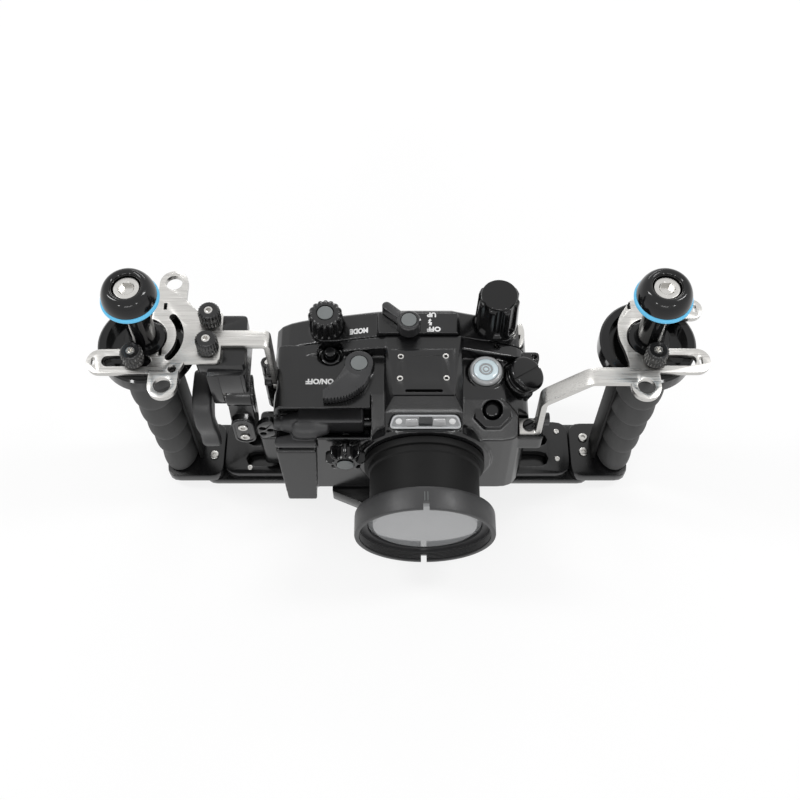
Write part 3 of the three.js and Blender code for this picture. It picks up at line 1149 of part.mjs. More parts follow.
function lockPush() {
  const b = lockButton;
  const low = -b.depth + b.travel + gap;
  return tilted(turned(drum(b.radius, low, low + b.length, gap), 16), b);
}

function finnedWheel() {
  const w = frontKnob;
  const hub = turnedForward(drum(w.hub, -w.back, -w.front - w.edge), w.x, w.z, 16);
  const skirt = turnedForward(drum(w.radius - w.edge, -w.back, -w.back + w.edge * 2), w.x, w.z, 16);
  const fins = [];
  for (let i = 0; i < w.fins / 2; i += 1) {
    const blade = new THREE.BoxGeometry(w.radius * 2, w.back - w.front - w.edge, w.finHalf * 2);
    blade.rotateY((i / w.fins) * Math.PI * 2);
    fins.push(solid(blade.translate(w.x, (w.back + w.front + w.edge) / 2, w.z)));
  }
  const shank = turnedForward(drum(stem.radius, -w.back - stem.length + overrun, -w.back + overrun), w.x, w.z, 8);
  return join(hub, skirt, shank, ...fins);
}

function wheelCap() {
  const w = frontKnob;
  return turnedForward(drum(w.cap, -w.front - w.edge + gap, -w.front + gap), w.x, w.z, 14);
}

function rearDial() {
  const wheel = frontal(lobed(rear.dial, rear.toothDepth, rear.dialTeeth, 2), 0, rear.dialDepth, { bevel: rear.toothDepth });
  const shank = turnedForward(drum(stem.radius, -overrun, door.wall + overrun), 0, 0, 8);
  return join(wheel, shank).translate([rear.x, door.rear + gap, rear.z]);
}

function rearButton(spot) {
  const back = door.rear - rear.recessDepth + rear.travel + gap;
  const profile = [
    [0, -back + stem.length / 2], [stem.radius, -back + stem.length / 2], [stem.radius, -back], [rear.button, -back],
    [rear.button, -door.rear - rear.buttonOut + gap], [rear.button - gap, -door.rear - rear.buttonOut],
    [0, -door.rear - rear.buttonOut],
  ];
  return turnedForward(profile, spot.x, spot.z, 10);
}

addPiece('power_button', powerPush(), 'anodised');
addPiece('port_lock_button', lockPush(), 'anodised');
addPiece('front_knob', finnedWheel(), 'anodised');
addPiece('front_knob_cap', wheelCap(), 'capGrey');
addPiece('rear_dial', rearDial(), 'anodised');
for (const spot of buttonSpots) addPiece(spot.name, rearButton(spot), 'anodised');

// Shutter lever and the finger trigger that works it

function shutterLever() {
  const s = shutter;
  const alongX = (profile, segments) => solid(turned(profile, segments).rotateY(Math.PI / 2).translate(0, s.y, s.z));
  const barrel = alongX([[0, s.left], [s.radius, s.left], [s.radius, s.right - gap], [s.radius - gap, s.right],
    [0, s.right]], 18);
  const neck = alongX([[0, s.neckLeft], [s.neckRadius, s.neckLeft], [s.neckRadius, s.left - overrun],
    [s.radius - gap, s.left + gap], [0, s.left + gap]], 16);
  const pin = alongX(drum(s.pinRadius, s.right - overrun, s.pinEnd), 12);
  const side = outline([
    [s.y, s.paddleTop], [s.paddleFront, s.paddleTop, s.edge], [s.paddleFront, s.lipBottom, s.edge],
    [s.paddleFront + s.lipDepth, s.lipBottom], [s.y, s.z - s.neckRadius],
  ]);
  const paddle = lateral(side, s.paddleLeft, s.paddleRight, { bevel: s.edge / 2 });
  const web = new THREE.Shape();
  const [webBack, webFront] = [s.y - s.radius + s.edge, s.paddleFront + s.edge];
  web.moveTo(s.paddleRight - s.edge, webBack);
  web.lineTo(s.paddleRight - s.edge, webFront);
  web.quadraticCurveTo(s.paddleRight, s.y - s.radius, s.paddleRight + s.webReach, webBack);
  return join(barrel, neck, pin, paddle, upright(web, s.wallTop + gap, s.webTop, { curve: 4 }));
}

const yokeShares = [0.2, 0.3, 0.5, 0.72, 0.76];

function leverYoke() {
  // A flat plate with three holes, reaching from the lever's neck to the trigger's drop arm.
  const y = yoke;
  const width = y.right - y.left;
  const height = y.top - y.bottom;
  const at = (across, up) => [y.left + width * across, y.bottom + height * up];
  const [inner, low, mid, high, far] = yokeShares;
  const plate = frontal(outline([
    at(0, low), at(inner, 0), at(1, inner), at(1, 1), at(mid, 1), at(0, high),
  ], y.corner), y.back - y.thickness, y.back);
  const bores = [at(inner + inner / 2, low), at(inner + inner / 2, mid + inner / 2), at(far, mid)].map(([x, z]) => (
    turnedForward(drum(y.hole, -y.back - overrun, -y.back + y.thickness + overrun), x, z, 8)));
  return cut(plate, ...bores);
}

// Side view of the lever: forward from its rear face, and down from its top
const leverShares = [
  [0, 0.02], [0.12, 0], [0.66, 0], [0.92, 0.12], [1, 0.4], [0.88, 0.68], [0.94, 0.88], [0.82, 1], [0.66, 0.94],
  [0.6, 0.7], [0.66, 0.4], [0.5, 0.34], [0, 0.3],
];

function triggerLever() {
  const t = trigger;
  const top = t.z + t.hub;
  const shape = outline(leverShares.map(([ahead, down]) => [
    t.leverRear + ahead * (t.leverFront - t.leverRear), top - down * t.leverLength]), t.leverRound);
  const blade = lateral(shape, t.leverX - t.leverWidth / 2, t.leverX + t.leverWidth / 2, { bevel: t.leverEdge, curve: 2 });
  const bore = shaftBore(t.leverX - t.leverWidth, t.leverX + t.leverWidth);
  return cut(blade, bore);
}

function shaftBore(left, right) {
  const bore = turned(drum(trigger.shaftRadius + gap, left, right), 16).rotateY(Math.PI / 2);
  return solid(bore.translate(0, trigger.y, trigger.z));
}

function triggerShaft() {
  const shaft = turned(drum(trigger.shaftRadius, trigger.shaftLeft, trigger.shaftRight), 16).rotateY(Math.PI / 2);
  return solid(shaft.translate(0, trigger.y, trigger.z));
}

function dropArm() {
  const t = trigger;
  const arm = lateral(stadium(t.y, t.z, t.armEndY, t.armEndZ, t.armEndRadius), t.armLeft, t.armRight, { curve: 3 });
  const hub = turned(drum(t.armHub, t.armLeft, t.armRight), 18).rotateY(Math.PI / 2).translate(0, t.y, t.z);
  const middle = (t.armLeft + t.armRight) / 2;
  const pad = frontal(stadium(middle, t.padLow, middle, t.padHigh, t.padRadius), t.padFront, t.padBack,
    { curve: 3, bevel: gap * 2 });
  return cut(join(arm, solid(hub), pad), shaftBore(t.armLeft - overrun, t.armRight + overrun));
}

function bearingBlock() {
  const t = trigger;
  const flange = upright(rectangle(block.left, block.right, block.front, block.rear, block.corner), block.flangeBottom,
    headTop);
  const bridge = upright(rectangle(t.armLeft, block.right, block.bridgeFront, block.bridgeRear, block.corner),
    block.bridgeBottom, block.flangeBottom + overrun);
  const cheek = lateral(outline([
    [t.y - t.armHub, block.cheekBottom + t.armHub, t.armHub], [t.y - t.armHub / 2, block.cheekBottom, t.armHub / 2],
    [t.y + t.armHub, block.cheekBottom, t.armHub], [block.bridgeRear, block.bridgeBottom, block.corner],
    [block.bridgeRear, block.flangeBottom + overrun], [t.y - t.armHub, block.flangeBottom + overrun],
  ]), t.cheekLeft, t.cheekRight, { curve: 4 });
  const side = box(t.cheekLeft, block.right - block.corner, t.y - t.armHub + gap, block.bridgeRear - gap, block.bridgeBottom,
    block.flangeBottom + overrun);
  const bores = bearingScrewYs.map((y) => turnedUp(drum(screw.shankRadius + gap, headTop - screw.shankDepth - gap,
    headTop + overrun), bearingScrew.x, y, 8));
  return cut(join(flange, bridge, cheek, side), shaftBore(t.cheekLeft - overrun, t.cheekRight + overrun), ...bores);
}

addPiece('shutter_lever', shutterLever(), 'anodised');
addPiece('lever_yoke', leverYoke(), 'anodised');
addPiece('trigger_bearing_block', bearingBlock(), 'anodised');
addPiece('trigger_lever', triggerLever(), 'plastic');
addPiece('trigger_shaft', triggerShaft(), 'steel');
addPiece('drop_arm', dropArm(), 'anodised');

export default housing;
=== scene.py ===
"""Looks for the underwater camera housing: finishes, fine shapes, lettering, stage and camera."""

import json
import math

import bmesh
import bpy
from mathutils import Matrix, Vector


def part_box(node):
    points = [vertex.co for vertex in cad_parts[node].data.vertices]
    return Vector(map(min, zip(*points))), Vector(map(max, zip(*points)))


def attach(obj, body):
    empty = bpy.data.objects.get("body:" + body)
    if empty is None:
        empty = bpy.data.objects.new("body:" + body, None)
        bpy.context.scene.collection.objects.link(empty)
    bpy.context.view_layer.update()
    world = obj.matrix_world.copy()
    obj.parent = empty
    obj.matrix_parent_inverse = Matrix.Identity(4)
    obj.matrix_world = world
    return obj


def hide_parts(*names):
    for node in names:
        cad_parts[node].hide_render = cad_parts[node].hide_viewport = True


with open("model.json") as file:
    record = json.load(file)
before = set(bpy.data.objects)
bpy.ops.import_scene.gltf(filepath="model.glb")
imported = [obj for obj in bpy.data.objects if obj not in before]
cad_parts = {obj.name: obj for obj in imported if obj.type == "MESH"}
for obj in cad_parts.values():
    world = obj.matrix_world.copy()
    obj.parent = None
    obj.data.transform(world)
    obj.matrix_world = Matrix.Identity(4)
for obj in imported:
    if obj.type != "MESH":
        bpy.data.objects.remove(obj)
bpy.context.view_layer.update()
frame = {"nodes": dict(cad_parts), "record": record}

bl_info = {
    "name": "Dive housing looks",
    "version": (1, 0, 0),
    "blender": (4, 5, 0),
    "location": "View3D > Sidebar > Dive housing",
    "description": "Dresses the packed model of an underwater camera housing",
    "category": "Object",
}

NODES = frame["nodes"]
RECORD = frame["record"]
MM = 0.001
FULL_TURN = 2 * math.pi
WELD = 0.0005 * MM
FORWARD = Matrix.Rotation(math.pi / 2, 4, "X")
REARWARD = Matrix.Rotation(-math.pi / 2, 4, "X")
SIDEWAYS = Matrix.Rotation(math.pi / 2, 4, "Y")
# Sets a drawing of Y and Z upright, with its thickness along X
ACROSS = Matrix(((0, 0, 1, 0), (1, 0, 0, 0), (0, 1, 0, 0), (0, 0, 0, 1)))
# The part of its range that most noise stays in
NOISE_SPAN = (0.3, 0.7)

# Sizes in millimetres that several pieces share
OVERRUN = 2  # How far a cutter stands out of what it cuts
STEM = 1.7  # Radius of the thin stems below knobs, levers and buttons
PORT_BORE = 25.0
SHEET = 2.8  # Thickness of the brackets
LOOP, LOOP_HOLE = 7, 4.15
ARM, ARM_SLOT = 6.6, 3
HUB_NOTCH = 10.9


# Places taken from the frame, in millimetres


def box_mm(node):
    """Lowest and highest corner of a node."""
    low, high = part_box(node)
    return low / MM, high / MM


def centre_mm(node):
    """Middle of a node's box."""
    low, high = box_mm(node)
    return (low + high) / 2


def body_of(node):
    """Name of the body that a node belongs to."""
    for body, members in RECORD["behaviour"]["bodies"].items():
        if node in members:
            return body
    raise KeyError(node)


# Settings


class DiveColours(bpy.types.PropertyGroup):
    """Colours of the finishes."""

    anodised: bpy.props.FloatVectorProperty(
        name="Anodised", description="Satin black of the housing and tray",
        subtype="COLOR", size=3, default=(0.006, 0.006, 0.0064), min=0, max=1)
    gloss: bpy.props.FloatVectorProperty(
        name="Polished black", description="Port, knobs and ball mounts",
        subtype="COLOR", size=3, default=(0.004, 0.004, 0.0043), min=0, max=1)
    rubber: bpy.props.FloatVectorProperty(
        name="Grip rubber", description="Rubber of the two grips",
        subtype="COLOR", size=3, default=(0.04, 0.04, 0.04), min=0, max=1)
    plastic: bpy.props.FloatVectorProperty(
        name="Moulded plastic", description="Trigger and pegs",
        subtype="COLOR", size=3, default=(0.02, 0.02, 0.021), min=0, max=1)
    steel: bpy.props.FloatVectorProperty(
        name="Stainless steel", description="Brackets and bright screws",
        subtype="COLOR", size=3, default=(0.56, 0.55, 0.53), min=0, max=1)
    ring: bpy.props.FloatVectorProperty(
        name="Blue ring", description="Rubber rings of the ball mounts",
        subtype="COLOR", size=3, default=(0.12, 0.53, 0.84), min=0, max=1)
    cap: bpy.props.FloatVectorProperty(
        name="Grey caps", description="Discs let into the controls",
        subtype="COLOR", size=3, default=(0.13, 0.14, 0.14), min=0, max=1)
    print_white: bpy.props.FloatVectorProperty(
        name="Lettering", description="White paint in the engraved words",
        subtype="COLOR", size=3, default=(0.78, 0.78, 0.78), min=0, max=1)
    # The port glass is opaque; its grey is a painted reflection in place of see-through glass
    glass: bpy.props.FloatVectorProperty(
        name="Port glass", description="Grey that the coated glass shows",
        subtype="COLOR", size=3, default=(0.25, 0.255, 0.26), min=0, max=1)


class DiveSizes(bpy.types.PropertyGroup):
    """Sizes that the fine shapes follow."""

    grain: bpy.props.FloatProperty(
        name="Casting grain", description="Side of one cell when the shell's edges are eased",
        unit="LENGTH", default=0.45 * MM, min=0.2 * MM, max=2 * MM)
    draft_grain: bpy.props.FloatProperty(
        name="Draft grain", description="The same for a quick look",
        unit="LENGTH", default=0.9 * MM, min=0.4 * MM, max=3 * MM)
    easing: bpy.props.IntProperty(
        name="Easing passes", description="How often the shell's edges are relaxed",
        default=7, min=0, max=40)
    steps: bpy.props.IntProperty(
        name="Steps in a turn", description="Faces round a turned piece",
        default=96, min=24, max=192)
    paint: bpy.props.FloatProperty(
        name="Paint height", description="How far the lettering stands on its face",
        unit="LENGTH", default=0.06 * MM, min=0.01 * MM, max=0.3 * MM)


class DiveStage(bpy.types.PropertyGroup):
    """Camera, lamps and floor."""

    lens: bpy.props.FloatProperty(
        name="Lens", description="Focal length in millimetres", default=50, min=10, max=200)
    camera_at: bpy.props.FloatVectorProperty(
        name="Camera place", description="Where the camera stands", subtype="TRANSLATION",
        unit="LENGTH", size=3, default=(0.00149, -0.2922, 0.5727))
    camera_down: bpy.props.FloatProperty(
        name="Camera tilt", description="How far the camera looks down", subtype="ANGLE",
        default=math.radians(60.8), min=0, max=math.pi / 2)
    sky: bpy.props.FloatProperty(
        name="Sky light", description="Light from all round", default=0.55, min=0, max=2)
    key: bpy.props.FloatProperty(
        name="Softbox light", description="Power of the largest softbox in watts",
        default=9.0, min=0, max=200)
    floor: bpy.props.FloatVectorProperty(
        name="Floor", description="Colour of the floor", subtype="COLOR", size=3,
        default=(0.9, 0.9, 0.9), min=0, max=1)


def colours():
    """The colours in use."""
    return bpy.context.scene.dive_colours


def sizes():
    """The sizes in use."""
    return bpy.context.scene.dive_sizes


def stage():
    """The stage settings in use."""
    return bpy.context.scene.dive_stage


# Surface effects shared by the finishes


def new_group(name, inputs, outputs):
    """Empty node group with float inputs and outputs."""
    group = bpy.data.node_groups.new(name, "ShaderNodeTree")
    for label, value in inputs:
        socket = group.interface.new_socket(label, in_out="INPUT", socket_type="NodeSocketFloat")
        socket.default_value = value
    for label in outputs:
        group.interface.new_socket(label, in_out="OUTPUT", socket_type="NodeSocketFloat")
    entry = group.nodes.new("NodeGroupInput")
    leave = group.nodes.new("NodeGroupOutput")
    return group, entry, leave


def maths(tree, operation, first, second):
    """Math node with each input a socket or a number."""
    node = tree.nodes.new("ShaderNodeMath")
    node.operation = operation
    for socket, value in zip(node.inputs, (first, second)):
        if isinstance(value, (int, float)):
            socket.default_value = value
        else:
            tree.links.new(value, socket)
    return node.outputs[0]


def place_noise(tree, scale, detail, stretch=(1, 1, 1)):
    """Noise that stays with the object, stretched along its axes."""
    coords = tree.nodes.new("ShaderNodeTexCoord")
    mapping = tree.nodes.new("ShaderNodeMapping")
    mapping.inputs["Scale"].default_value = stretch
    noise = tree.nodes.new("ShaderNodeTexNoise")
    noise.inputs["Detail"].default_value = detail
    tree.links.new(coords.outputs["Object"], mapping.inputs["Vector"])
    tree.links.new(mapping.outputs["Vector"], noise.inputs["Vector"])
    if isinstance(scale, (int, float)):
        noise.inputs["Scale"].default_value = scale
    else:
        tree.links.new(scale, noise.inputs["Scale"])
    return noise.outputs["Fac"]


def grain_group():
    """Fine grain: a height for the bump, and a patchy share for the roughness."""
    inputs = [("Scale", 4000.0), ("Patch", 60.0)]
    group, entry, leave = new_group("Fine grain", inputs, ["Height", "Patches"])
    fine = place_noise(group, entry.outputs["Scale"], 3.0)
    patch = place_noise(group, entry.outputs["Patch"], 4.0)
    group.links.new(fine, leave.inputs["Height"])
    group.links.new(patch, leave.inputs["Patches"])
    return group


def brushed_group():
    """Brushed metal: long scratches along X, as a height and a share."""
    group, entry, leave = new_group("Brushed lines", [("Scale", 900.0)], ["Height", "Lines"])
    lines = place_noise(group, entry.outputs["Scale"], 5.0, stretch=(0.04, 1.0, 1.0))
    cross = place_noise(group, entry.outputs["Scale"], 2.0, stretch=(0.4, 0.4, 0.4))
    shares = [maths(group, "MULTIPLY", lines, 0.8), maths(group, "MULTIPLY", cross, 0.2)]
    group.links.new(maths(group, "ADD", *shares), leave.inputs["Height"])
    group.links.new(lines, leave.inputs["Lines"])
    return group


def wear_group():
    """Edge wear: a mask that rises where the surface turns sharply outwards."""
    group, entry, leave = new_group("Edge wear", [("From", 0.52), ("To", 0.6)], ["Mask"])
    geometry = group.nodes.new("ShaderNodeNewGeometry")
    spread = group.nodes.new("ShaderNodeMapRange")
    group.links.new(geometry.outputs["Pointiness"], spread.inputs["Value"])
    group.links.new(entry.outputs["From"], spread.inputs["From Min"])
    group.links.new(entry.outputs["To"], spread.inputs["From Max"])
    patch = place_noise(group, 350.0, 3.0)
    group.links.new(maths(group, "MULTIPLY", spread.outputs["Result"], patch), leave.inputs["Mask"])
    return group


EFFECTS = {"Fine grain": grain_group, "Brushed lines": brushed_group, "Edge wear": wear_group}


def effect(material, name, **values):
    """Places one of the shared effects in a material and returns its node."""
    node = material.node_tree.nodes.new("ShaderNodeGroup")
    node.node_tree = bpy.data.node_groups.get(name) or EFFECTS[name]()
    for label, value in values.items():
        node.inputs[label].default_value = value
    return node


def shader_of(material):
    """The Principled shader of a material."""
    return material.node_tree.nodes["Principled BSDF"]


def new_finish(name, colour, roughness, metallic=0.0, **extra):
    """Material with the constants set on the shader."""
    material = bpy.data.materials.new(name)
    material.use_nodes = True
    inputs = shader_of(material).inputs
    inputs["Base Color"].default_value = (*colour, 1)
    inputs["Roughness"].default_value = roughness
    inputs["Metallic"].default_value = metallic
    for label, value in extra.items():
        inputs[label.replace("_", " ")].default_value = value
    material.diffuse_color = (*colour, 1)
    return material


def vary(material, source, socket, low, high):
    """Feeds a share from 0 to 1 into a shader socket, between two values."""
    tree = material.node_tree
    spread = tree.nodes.new("ShaderNodeMapRange")
    for label, value in zip(("From Min", "From Max", "To Min", "To Max"), (*NOISE_SPAN, low, high)):
        spread.inputs[label].default_value = value
    tree.links.new(source, spread.inputs["Value"])
    tree.links.new(spread.outputs["Result"], shader_of(material).inputs[socket])


def tint(material, mask, dark, light):
    """Base colour that goes from one to another with a mask."""
    tree = material.node_tree
    mix = tree.nodes.new("ShaderNodeMix")
    mix.data_type = "RGBA"
    mix.inputs["A"].default_value = (*dark, 1)
    mix.inputs["B"].default_value = (*light, 1)
    tree.links.new(mask, mix.inputs["Factor"])
    tree.links.new(mix.outputs["Result"], shader_of(material).inputs["Base Color"])


def roughen(material, height, distance, strength=1.0):
    """Bump from a height."""
    tree = material.node_tree
    bump = tree.nodes.new("ShaderNodeBump")
    bump.inputs["Distance"].default_value = distance
    bump.inputs["Strength"].default_value = strength
    tree.links.new(height, bump.inputs["Height"])
    tree.links.new(bump.outputs["Normal"], shader_of(material).inputs["Normal"])


def lighter(colour, factor):
    """A colour scaled by a factor, at most to white."""
    return tuple(min(1.0, channel * factor) for channel in colour)


# Finishes


def anodised_finish():
    """Bead-blasted and anodised aluminium with faint handling marks on its edges."""
    base = colours().anodised
    material = new_finish("Black anodised", base, 0.19, Specular_IOR_Level=0.5)
    grain = effect(material, "Fine grain", Scale=5200.0, Patch=70.0)
    wear = effect(material, "Edge wear", From=0.53, To=0.64)
    tint(material, wear.outputs["Mask"], base, lighter(base, 3.0))
    vary(material, grain.outputs["Patches"], "Roughness", 0.16, 0.23)
    roughen(material, grain.outputs["Height"], 0.02 * MM, 0.5)
    return material


def steel_finish():
    """Brushed stainless sheet."""
    base = colours().steel
    material = new_finish("Brushed stainless", base, 0.3, metallic=1.0)
    lines = effect(material, "Brushed lines", Scale=1400.0)
    tint(material, lines.outputs["Lines"], lighter(base, 0.82), lighter(base, 1.12))
    vary(material, lines.outputs["Lines"], "Roughness", 0.24, 0.4)
    roughen(material, lines.outputs["Height"], 0.012 * MM)
    return material


def grained_finish(label, colour, roughness, grain, scale=1.0, tones=None, sheen=None, bump=0.0,
                   **extra):
    """One colour with fine grain, whose patches go between two tones and between two roughnesses."""
    plain = colour if isinstance(colour, tuple) else getattr(colours(), colour)
    base = lighter(plain, scale)
    material = new_finish(label, base, roughness, **extra)
    fine, patch = grain
    node = effect(material, "Fine grain", Scale=fine, Patch=patch)
    if tones:
        tint(material, node.outputs["Patches"], *[lighter(base, tone) for tone in tones])
    if sheen:
        vary(material, node.outputs["Patches"], "Roughness", *sheen)
    if bump:
        roughen(material, node.outputs["Height"], bump * MM)
    return material


# A colour is the name of a setting or a fixed one. Grain is the scale of the grain and of its patches
GRAINED = {
    "gloss": dict(label="Polished black", colour="gloss", roughness=0.1, grain=(2600, 90),
                  sheen=(0.08, 0.17), Specular_IOR_Level=0.36),
    "rubber": dict(label="Grip rubber", colour="rubber", roughness=0.62, grain=(2400, 110),
                   tones=(0.75, 1.5), sheen=(0.52, 0.72), bump=0.05, Specular_IOR_Level=0.4),
    "plastic": dict(label="Moulded plastic", colour="plastic", roughness=0.42, grain=(3600, 80),
                    sheen=(0.36, 0.5), bump=0.04),
    "bright": dict(label="Bright steel", colour="steel", scale=1.05, roughness=0.22,
                   grain=(1800, 300), sheen=(0.16, 0.32), metallic=1.0),
    "ring": dict(label="Blue rubber", colour="ring", roughness=0.4, grain=(3000, 200),
                 sheen=(0.34, 0.48)),
    "cap": dict(label="Grey cap", colour="cap", roughness=0.5, grain=(4200, 150),
                tones=(0.85, 1.15), sheen=(0.42, 0.58), bump=0.03),
    "seal": dict(label="Seal rubber", colour="rubber", scale=0.6, roughness=0.35,
                 grain=(1500, 120), sheen=(0.25, 0.5)),
    "white": dict(label="White lettering", colour="print_white", roughness=0.55,
                  grain=(6000, 900), tones=(0.85, 1.0)),
    # Opaque grey for the port glass: painted reflection in place of see-through glass
    "port_glass": dict(label="Port glass", colour="glass", roughness=0.08, grain=(700, 40),
                       tones=(0.96, 1.04), Coat_Weight=0.6, Coat_Roughness=0.04),
    "smoked": dict(label="Smoked glass", colour=(0.02, 0.021, 0.023), roughness=0.08,
                   grain=(900, 300), sheen=(0.06, 0.14), Coat_Weight=0.5),
    "pale": dict(label="Pale moulding", colour=(0.5, 0.51, 0.52), roughness=0.4,
                 grain=(1200, 200), tones=(0.9, 1.1)),
    "tinted": dict(label="Tinted moulding", colour=(0.3, 0.305, 0.31), roughness=0.2,
                   grain=(1400, 220), tones=(0.85, 1.2), Coat_Weight=0.5, Coat_Roughness=0.05),
    "frost": dict(label="Frosted window", colour=(0.58, 0.68, 0.72), roughness=0.25,
                  grain=(1100, 180), tones=(0.88, 1.12), Coat_Weight=0.6, Coat_Roughness=0.04),
    "smoke_pale": dict(label="Lens blocks", colour=(0.36, 0.36, 0.365), roughness=0.1,
                       grain=(900, 260), tones=(0.8, 1.3), Coat_Weight=0.8, Coat_Roughness=0.03),
    # Lighter copy of the anodised black for the flash and zoom levers: painted light, standing in for the
    # brighter reflection their tops catch
    "lever": dict(label="Lever anodised", colour="anodised", scale=2.6, roughness=0.3,
                  grain=(2400, 140), tones=(0.85, 1.2), sheen=(0.26, 0.36)),
    # Real matt black of the port barrel and spine strips; on the slot floor and the screw sockets of the pad
    # it is painted shade
    "void": dict(label="Matt black", colour=(0.003, 0.003, 0.003), roughness=0.6,
                 grain=(900, 200), tones=(0.7, 1.3), Specular_IOR_Level=0.2),
}
SPECIAL = {"anodised": anodised_finish, "steel": steel_finish}
made_finishes = {}


def finish(look):
    """The material of a look, made once."""
    if look not in made_finishes:
        made = SPECIAL[look]() if look in SPECIAL else grained_finish(**GRAINED[look])
        made_finishes[look] = made
    return made_finishes[look]


# Pieces and meshes


def placed(name, data):
    """Object in the scene."""
    holder = bpy.data.objects.new(name, data)
    bpy.context.scene.collection.objects.link(holder)
    return holder


def new_piece(name, mesh, look, *nodes, body=None):
    """Piece with its finish. It stands for nodes and rides their body, or a body that is named."""
    piece = placed(name, mesh)
    piece.data.materials.clear()
    piece.data.materials.append(finish(look))
    if not body:
        body = body_of(nodes[0]) if nodes else "housing"
    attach(piece, body)
    if nodes:
        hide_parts(*nodes)


def shade(mesh, sharp=30):
    """Smooth shading that keeps edges sharper than an angle."""
    mesh.shade_smooth()
    mesh.set_sharp_from_angle(angle=math.radians(sharp))
    return mesh


def mesh_from(points, faces, matrix=None):
    """Mesh in metres from points in millimetres."""
    mesh = bpy.data.meshes.new("shape")
    place = matrix or Matrix.Identity(4)
    mesh.from_pydata([place @ (Vector(point) * MM) for point in points], [], faces)
    tidy = bmesh.new()
    tidy.from_mesh(mesh)
    bmesh.ops.remove_doubles(tidy, verts=tidy.verts, dist=WELD)
    bmesh.ops.recalc_face_normals(tidy, faces=tidy.faces)
    tidy.to_mesh(mesh)
    tidy.free()
    return mesh


def at_mm(x, y, z):
    """Move by millimetres."""
    return Matrix.Translation(Vector((x, y, z)) * MM)


def standing(node):
    """Corners of a node, and the line up its middle."""
    low, high = box_mm(node)
    return low, high, at_mm((low.x + high.x) / 2, (low.y + high.y) / 2, 0)


def facing(node, way=FORWARD):
    """Corners of a node, and the line through its middle from rear to front."""
    low, high = box_mm(node)
    return low, high, at_mm((low.x + high.x) / 2, 0, (low.z + high.z) / 2) @ way


def corner_cut(before, here, after, radius, steps, room):
    """Points that round one corner. It may carry its own radius."""
    corner = Vector(here[:2])
    back = Vector(before[:2]) - corner
    ahead = Vector(after[:2]) - corner
    reach = min(here[2] if len(here) > 2 else radius, back.length / room, ahead.length / room)
    if reach <= 0:
        return [tuple(corner)]
    start = corner + back.normalized() * reach
    end = corner + ahead.normalized() * reach
    shares = [step / steps for step in range(steps + 1)]
    return [tuple(start.lerp(corner, share).lerp(corner.lerp(end, share), share))
            for share in shares]


def eased(profile, radius, steps=3):
    """Open profile with its inner corners rounded."""
    result = [tuple(profile[0][:2])]
    for corners in zip(profile, profile[1:], profile[2:]):
        result += corner_cut(*corners, radius, steps, 2.05)
    return result + [tuple(profile[-1][:2])]


def rounded(points, radius=0.0, steps=6):
    """Closed outline with rounded corners."""
    result = []
    for index, point in enumerate(points):
        following = points[(index + 1) % len(points)]
        result += corner_cut(points[index - 1], point, following, radius, steps, 2.02)
    return result


def turned(profile, matrix=None, steps=None, wave=None):
    """Mesh of revolution about Z. A level is radius, height and, with a wave, a depth."""
    steps = steps or sizes().steps
    points, faces, rings = [], [], []
    for level in profile:
        radius, height = level[0], level[1]
        depth = level[2] if len(level) > 2 else 0
        if radius < 1e-6:
            rings.append([len(points)] * steps)
            points.append((0, 0, height))
            continue
        rings.append(list(range(len(points), len(points) + steps)))
        for step in range(steps):
            angle = FULL_TURN * step / steps
            reach = radius - (wave(angle, depth) if depth else 0)
            points.append((reach * math.cos(angle), reach * math.sin(angle), height))
    for low, high in zip(rings, rings[1:]):
        for step in range(steps):
            following = (step + 1) % steps
            corners = [low[step], low[following], high[following], high[step]]
            unique = list(dict.fromkeys(corners))
            if len(unique) > 2:
                faces.append(unique)
    return mesh_from(points, faces, matrix)


def lathe(profile, matrix, easing=0.2, steps=None, sharp=30):
    """Shaded mesh of an eased profile, turned about Z."""
    return shade(turned(eased(profile, easing), matrix, steps), sharp)


def rod(radius, low, high, matrix, steps=24):
    """Plain round bar between two heights."""
    return turned([(0, low), (radius, low), (radius, high), (0, high)], matrix, steps)


def bezier(points, share):
    """Point on a curve of any number of control points."""
    row = [Vector(point) for point in points]
    while len(row) > 1:
        row = [first.lerp(second, share) for first, second in zip(row, row[1:])]
    return tuple(row[0])


def smooth(value):
    """Value held between 0 and 1, and eased at both ends."""
    share = min(max(value, 0), 1)
    return share * share * (3 - 2 * share)


def arc(x, y, radius, start, end, steps=24):
    """Points on an arc, angles in degrees."""
    angles = [math.radians(start + (end - start) * step / steps) for step in range(steps + 1)]
    return [(x + radius * math.cos(angle), y + radius * math.sin(angle)) for angle in angles]


def ring_of(x, y, radius, steps=48):
    """Points round a circle."""
    return arc(x, y, radius, 0, 360, steps)[:-1]


def pill(x0, y0, x1, y1, radius, steps=16):
    """Outline of a slot between two points."""
    along = math.degrees(math.atan2(y1 - y0, x1 - x0))
    return (arc(x1, y1, radius, along - 90, along + 90, steps)
            + arc(x0, y0, radius, along + 90, along + 270, steps))


def curved_slot(x, y, radius, half, reach):
    """Outline of a slot along an arc that reaches an angle to each side of X."""
    tip = x + radius * math.cos(math.radians(reach))
    up = radius * math.sin(math.radians(reach))
    return (arc(x, y, radius + half, -reach, reach)
            + arc(tip, y + up, half, reach, reach + 180, 10)
            + arc(x, y, radius - half, reach, -reach)
            + arc(tip, y - up, half, 180 - reach, 360 - reach, 10))


def rectangle(left, right, front, rear):
    """Outline of a rectangle."""
    return [(left, front), (right, front), (right, rear), (left, rear)]


